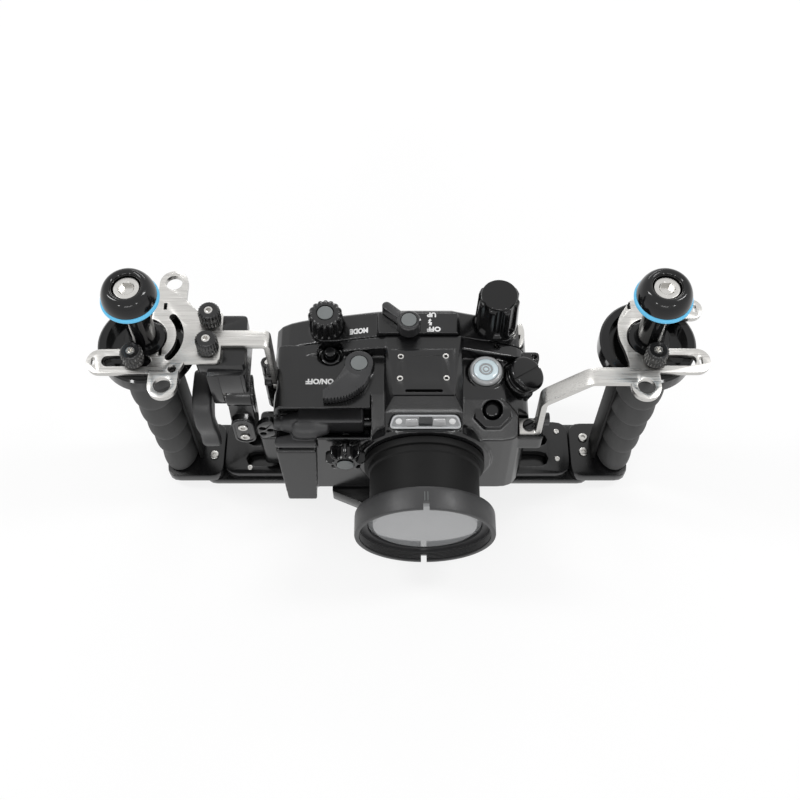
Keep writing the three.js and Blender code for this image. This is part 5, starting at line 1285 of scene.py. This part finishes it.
class DIVE_OT_pad(bpy.types.Operator):
    """Accessory pad on the hump, with its recess, slot and screws"""

    bl_idname = "dive.pad"
    bl_label = "Accessory pad"

    def execute(self, context):
        top = box_mm("front_shell")[1].z + 0.12
        slot = (4.9, -20.0, 21.9, -20.0)
        spots = ((1.9, 0.0), (24.6, 0.2), (1.5, -12.8), (24.7, -12.6))
        recess = frustum((8.9, 20.3, -13.6, 0.4), (6.3, 23.1, -16.6, 0.8), top - 0.9, top + 0.01)
        wells = [slab(ring_of(x, y, 1.75, 32), top - 0.7, top + 1) for x, y in spots]
        plate = slab(pad_outline(), top - 2.6, top)
        mesh = without(plate, recess, slab(pill(*slot, 0.85), top - 3, top + 1), *wells)
        new_piece("accessory_pad", shade(softened(mesh, 0.22)), "anodised")
        # Dark matt sheet at the bottom of the slot: painted shade inside the slot
        new_piece("accessory_slot_floor", slab(pill(*slot, 1.3), top - 2.75, top - 2.3), "void")
        rings = [screw_ring(at_mm(x, y, top - 0.66), 1.65, 0.85, 0.6) for x, y in spots]
        new_piece("accessory_pad_screws", shade(merged(*rings)), "bright")
        # Dark matt discs under the screw rings: painted shade in the screw sockets
        sockets = [slab(ring_of(x, y, 1.0, 24), top - 0.69, top - 0.5) for x, y in spots]
        new_piece("accessory_pad_sockets", merged(*sockets), "void")
        return {"FINISHED"}


class DIVE_OT_fittings(bpy.types.Operator):
    """Leak indicator, accessory plug, flash strip and bay saddle"""

    bl_idname = "dive.fittings"
    bl_label = "Fittings"

    def execute(self, context):
        self.indicator()
        self.plug()
        self.flash_strip()
        dress("camera_saddle", "anodised", 0.4)
        return {"FINISHED"}

    def plug(self):
        """Slotted plug that leans to the right."""
        lean, slot_turn = 27, 38
        bore, seat, neck, cap, top = 5.4, 9.2, 8.6, 9.7, 10.5
        place = at_mm(62.4, -3.6, 75.8) @ Matrix.Rotation(math.radians(lean), 4, "Y")
        profile = [(0, -3.4), (bore, -3.4), (bore, 0.3), (seat, 0.3, 0.4), (seat, 3.2, 0.5),
                   (neck, 3.6, 0.2), (neck, 4.6, 0.2), (9.0, 5, 0.3), (8.2, 6, 0.3), (9.6, 6.3, 0.5),
                   (cap, 9.6, 0.7), (8.6, top, 0.8), (0, top)]
        slot_place = place @ Matrix.Rotation(math.radians(slot_turn), 4, "Z")
        slot = slab(rectangle(-20, 20, -0.75, 0.75), 8.9, 12, slot_place)
        mesh = shade(without(turned(eased(profile, 0.2), place), slot))
        new_piece("accessory_plug_turned", mesh, "gloss", "accessory_plug")

    def indicator(self):
        """Tinted rim round a frosted disc with two rings."""
        low, _, place = standing("leak_indicator")
        foot, outer, inner = low.z, 8.4, 6.4
        rim = [(inner, foot), (outer, foot, 0.2), (outer, foot + 1.4, 0.5),
               (outer - 0.6, foot + 2.3, 0.4), (outer - 1.4, foot + 2.5, 0.3),
               (inner, foot + 2.1, 0.2), (inner, foot)]
        new_piece("indicator_rim", lathe(rim, place), "tinted", "leak_indicator")
        edge = inner - 0.1
        disc = [(0, foot), (edge, foot), (edge, foot + 2.2, 0.3), (edge - 1.2, foot + 2.7, 1),
                (3.6, foot + 2.9, 0.2), (3.5, foot + 2.5, 0.1), (0, foot + 2.5)]
        new_piece("indicator_disc", lathe(disc, place), "frost")
        rings = []
        base, top = foot + 2.4, foot + 3.0
        for wide, bore in ((3.3, 2.5), (1.7, 1.1)):
            loop = [(bore, base), (wide, base, 0.1), (wide, top, 0.2), (bore, top, 0.2), (bore, base)]
            rings.append(turned(eased(loop, 0.1), place, 48))
        new_piece("indicator_rings", shade(merged(*rings)), "tinted")

    def flash_strip(self):
        """Frame, floor, dark middle, two lens blocks and two lights."""
        lean, rise, floor = math.radians(31.9), 1.2, -0.9
        normal = Vector((0, -math.cos(lean), math.sin(lean)))
        place = at_mm(*(centre_mm("flash_window") + normal * rise))
        place @= Matrix.Rotation(math.pi / 2 - lean, 4, "X")
        body = without(slab(self.strip(0), -2.4, 0, place), slab(self.strip(0.9), -1.0, 1, place))
        new_piece("flash_strip_frame", shade(softened(body, 0.2)), "pale", "flash_window")
        new_piece("flash_strip_floor", slab(self.strip(0.95), -1.05, -0.85, place), "tinted")
        middle = rounded(rectangle(-3.4, 3.4, -2.6, 2.4), 0.5)
        new_piece("flash_strip_centre", slab(middle, floor, -0.6, place), "smoked")
        block = rounded([(-3.3, -2.2), (3.3, -2.2), (3.1, 1.9), (-3.1, 1.9)], 1.0)
        light = [(0, floor), (1.7, floor), (1.7, -0.25, 0.4), (0, -0.05)]
        lenses, lights = [], []
        for side in (-1, 1):
            lenses.append(softened(slab(block, floor, -0.1, place @ at_mm(side * 6.9, 0, 0)), 0.3))
            lights.append(turned(eased(light, 0.2), place @ at_mm(side * 13.4, 0.1, 0), 32))
        new_piece("flash_strip_lenses", shade(merged(*lenses)), "smoke_pale")
        new_piece("flash_strip_lights", shade(merged(*lights), 40), "white")

    @staticmethod
    def strip(inset):
        """Outline of the flash strip, drawn in."""
        half, wide, narrow = 4 - inset, 18.4 - inset, 16.2 - inset
        return rounded([(-wide, -half), (wide, -half), (narrow, half), (-narrow, half)], 3 - inset)


# Trigger, tray and shell


class DIVE_OT_trigger(bpy.types.Operator):
    """Finger trigger, its shaft, block and drop arm"""

    bl_idname = "dive.trigger"
    bl_label = "Trigger"

    def execute(self, context):
        dress("trigger_lever", "plastic", 1.2, sharp=25)
        dress("trigger_shaft", "bright", 0.3)
        dress("drop_arm", "anodised", 0.5)
        dress("trigger_bearing_block", "anodised", 0.5)
        self.pad_trim()
        return {"FINISHED"}

    def pad_trim(self):
        """Raised rim and two screws on the drop arm's pad."""
        low, high = box_mm("drop_arm")
        x, face = (low.x + high.x) / 2, -low.y
        line = (x, 55.4, x, 68.6)
        rim = without(slab(pill(*line, 5.4), face - 0.2, face + 0.3, FORWARD),
                      slab(pill(*line, 4.2), face - 1, face + 1, FORWARD))
        new_piece("drop_arm_rim", shade(softened(rim, 0.15)), "anodised", body="trigger")
        places = [at_mm(x, 0, z) @ FORWARD @ at_mm(0, 0, face) for z in (56.6, 66.8)]
        heads = [hex_screw(place, 2.6, 1.0, 1.3) for place in places]
        new_piece("drop_arm_screws", shade(merged(*heads)), "bright", body="trigger")


class DIVE_OT_tray(bpy.types.Operator):
    """Tray plates"""

    bl_idname = "dive.tray"
    bl_label = "Tray"

    def execute(self, context):
        dress("tray_base_plate", "anodised", 0.4)
        dress("tray_top_plate", "anodised", 0.4)
        return {"FINISHED"}


class DIVE_OT_shell(bpy.types.Operator):
    """Cast halves of the housing, door window, seal, hinge pin and keeper"""

    bl_idname = "dive.shell"
    bl_label = "Shell and door"

    def execute(self, context):
        top = box_mm("front_shell")[1].z
        pad_seat = slab(pad_outline(1.2), top - 2.4, top + OVERRUN)
        under_deck = slab(rectangle(-59, -13.2, -30, -18.2), 70, 83.4)
        cast_skin("front_shell", pad_seat, under_deck)
        cast_skin("rear_door")
        dress("door_window", "smoked", 0.3)
        dress("door_seal", "seal", 0.4)
        dress("hinge_pin", "bright", 0.2)
        dress("latch_keeper", "bright", 0.2)
        return {"FINISHED"}


# Lettering


def laid_on(skin, x, y):
    """Matrix of a mark on a skin, upright for a reader behind the housing."""
    above = Vector((x * MM, y * MM, 0.2))
    found, place, normal, _ = bpy.data.objects[skin].ray_cast(above, Vector((0, 0, -1)))
    if not found:
        raise ValueError(f"nothing lies under {x}, {y} on {skin}")
    across = Vector((-1, 0, 0))
    across = (across - normal * across.dot(normal)).normalized()
    turn = Matrix((across, normal.cross(across), normal)).transposed().to_4x4()
    return Matrix.Translation(place) @ turn


def written(words, skin, x, y, height, width):
    """Word painted on a skin, fitted to a height and a width."""
    capitals, weight = 0.7, 0.07
    curve = bpy.data.curves.new("word", "FONT")
    curve.body = words
    curve.size = height * MM / capitals
    curve.extrude = sizes().paint
    curve.offset = weight * height * MM
    curve.resolution_u = 3
    mesh = applied(placed("word", curve))
    corners = [Vector(vertex.co) for vertex in mesh.vertices]
    low = Vector([min(corner[axis] for corner in corners) for axis in range(3)])
    high = Vector([max(corner[axis] for corner in corners) for axis in range(3)])
    fit = Matrix.Diagonal((width * MM / (high.x - low.x), height * MM / (high.y - low.y), 1, 1))
    mesh.transform(laid_on(skin, x, y) @ fit @ Matrix.Translation(-(low + high) / 2))
    return mesh


class DIVE_OT_lettering(bpy.types.Operator):
    """White words and marks beside the controls"""

    bl_idname = "dive.lettering"
    bl_label = "Lettering"

    def execute(self, context):
        shell, door = "front_shell_skin", "rear_door_skin"
        words = [written("MODE", door, -19.6, 16.9, 3.3, 9.6),
                 written("UP", door, 17.6, 23.3, 2.9, 4.7),
                 written("OFF", door, 18.7, 14.6, 3.0, 7.0)]
        new_piece("door_lettering", merged(*words, self.bolt_mark(door)), "white", body="door")
        new_piece("shell_lettering", written("ON/OFF", shell, -39.2, -9.5, 3.3, 14.2), "white")
        top = box_mm("flash_lever")[1].z
        dot = slab(ring_of(11.3, 15.4, 0.65, 20), top - 0.6, top - 0.25)
        new_piece("flash_lever_dot", dot, "white", body="flash_switch")
        return {"FINISHED"}

    def bolt_mark(self, skin):
        """Lightning bolt with an arrow head, the usual sign for a flash."""
        points = [(-0.9, 2.0), (0.5, 2.0), (0.1, 0.7), (1.1, 0.7), (0.3, -0.9), (1.0, -0.7),
                  (-0.2, -2.1), (-1.0, -0.9), (-0.4, -0.9), (-0.2, 0.1), (-1.1, 0.1)]
        return slab(points, -0.05, 0.06, laid_on(skin, 16.7, 18.9))


# Stage

# Name, place in metres, width, height and share of the key light
LAMPS = (
    ("softbox_left", (-0.75, 0.15, 1.0), 0.16, 0.42, 0.5),
    ("softbox_right", (0.75, 0.15, 1.0), 0.16, 0.42, 0.5),
    ("softbox_rear", (0.0, 1.0, 0.7), 0.6, 0.08, 0.22),
    ("softbox_front", (0.0, -1.1, 0.5), 0.6, 0.08, 0.16),
    ("softbox_front_left", (-0.65, -0.9, 0.6), 0.1, 0.1, 0.1),
    ("softbox_front_right", (0.65, -0.9, 0.6), 0.1, 0.1, 0.1),
)


def softbox(name, place, width, height, power):
    """Area lamp that faces the middle of the housing."""
    aim = Vector((0, 0, 0.08))
    lamp = bpy.data.lights.new(name, "AREA")
    lamp.shape = "RECTANGLE"
    lamp.size = width
    lamp.size_y = height
    lamp.energy = power
    holder = placed(name, lamp)
    holder.location = place
    holder.rotation_euler = (aim - Vector(place)).to_track_quat("-Z", "Y").to_euler()


def seen_directly(tree):
    """1 where a surface is seen by the camera, in a reflection or through glass."""
    path = tree.nodes.new("ShaderNodeLightPath")
    glossy = maths(tree, "MAXIMUM", path.outputs["Is Camera Ray"], path.outputs["Is Glossy Ray"])
    return maths(tree, "MAXIMUM", glossy, path.outputs["Is Transmission Ray"])


class DIVE_OT_stage(bpy.types.Operator):
    """Pale floor, soft light and the camera"""

    bl_idname = "dive.stage"
    bl_label = "Stage"

    def execute(self, context):
        settings = stage()
        context.scene.view_settings.view_transform = "Standard"
        self.camera(context.scene, settings)
        self.sky(context.scene, settings)
        self.floor(settings)
        for name, place, width, height, share in LAMPS:
            softbox(name, place, width, height, settings.key * share)
        return {"FINISHED"}

    def camera(self, scene, settings):
        camera = bpy.data.cameras.new("camera")
        camera.lens = settings.lens
        camera.sensor_width = 36
        camera.clip_start = 0.01
        camera.clip_end = 20
        scene.camera = placed("camera", camera)
        scene.camera.location = settings.camera_at
        scene.camera.rotation_euler = (math.pi / 2 - settings.camera_down, 0, 0)

    def sky(self, scene, settings):
        """White where it is seen, and plain even light otherwise."""
        scene.world = bpy.data.worlds.new("sky")
        scene.world.use_nodes = True
        tree = scene.world.node_tree
        background = tree.nodes["Background"]
        background.inputs["Color"].default_value = (1, 1, 1, 1)
        share = maths(tree, "MULTIPLY", seen_directly(tree), 1.0 - settings.sky)
        tree.links.new(maths(tree, "ADD", share, settings.sky), background.inputs["Strength"])

    def floor(self, settings):
        """Pale sheet that glows where it is seen, and keeps a soft shadow."""
        reach, level, glowing = 4.0, -0.0002, 0.8
        mesh = bpy.data.meshes.new("floor")
        corners = [(x, y, level) for x, y in rectangle(-reach, reach, -reach, reach)]
        mesh.from_pydata(corners, [], [(0, 1, 2, 3)])
        sheet = placed("floor", mesh)
        material = new_finish("Pale floor", settings.floor, 0.9, Specular_IOR_Level=0.0)
        tree = material.node_tree
        glow = tree.nodes.new("ShaderNodeEmission")
        glow.inputs["Strength"].default_value = 1.0
        mix = tree.nodes.new("ShaderNodeMixShader")
        tree.links.new(maths(tree, "MULTIPLY", seen_directly(tree), glowing), mix.inputs["Fac"])
        tree.links.new(shader_of(material).outputs[0], mix.inputs[1])
        tree.links.new(glow.outputs[0], mix.inputs[2])
        tree.links.new(mix.outputs[0], tree.nodes["Material Output"].inputs["Surface"])
        sheet.data.materials.append(material)


class DIVE_PT_panel(bpy.types.Panel):
    """Lists the steps"""

    bl_idname = "DIVE_PT_panel"
    bl_label = "Dive housing"
    bl_space_type = "VIEW_3D"
    bl_region_type = "UI"
    bl_category = "Dive housing"

    def draw(self, context):
        for step in STEPS:
            self.layout.operator(step.bl_idname)
        for group in (colours(), sizes(), stage()):
            for key in group.__annotations__:
                self.layout.prop(group, key)


STEPS = (
    DIVE_OT_stage, DIVE_OT_shell, DIVE_OT_pad, DIVE_OT_port, DIVE_OT_handles, DIVE_OT_ball_mounts,
    DIVE_OT_brackets, DIVE_OT_screws, DIVE_OT_knobs, DIVE_OT_levers, DIVE_OT_buttons,
    DIVE_OT_fittings, DIVE_OT_trigger, DIVE_OT_tray, DIVE_OT_lettering,
)
SETTINGS = {"dive_colours": DiveColours, "dive_sizes": DiveSizes, "dive_stage": DiveStage}
CLASSES = (*SETTINGS.values(), *STEPS, DIVE_PT_panel)


def register():
    """Adds the classes and the settings."""
    for each in CLASSES:
        bpy.utils.register_class(each)
    for name, kind in SETTINGS.items():
        setattr(bpy.types.Scene, name, bpy.props.PointerProperty(type=kind))


def unregister():
    """Takes them out again."""
    for name in SETTINGS:
        delattr(bpy.types.Scene, name)
    for each in reversed(CLASSES):
        bpy.utils.unregister_class(each)


def main():
    """Runs every step."""
    register()
    for step in STEPS:
        family, name = step.bl_idname.split(".")
        getattr(getattr(bpy.ops, family), name)()


if __name__ == "__main__":
    main()
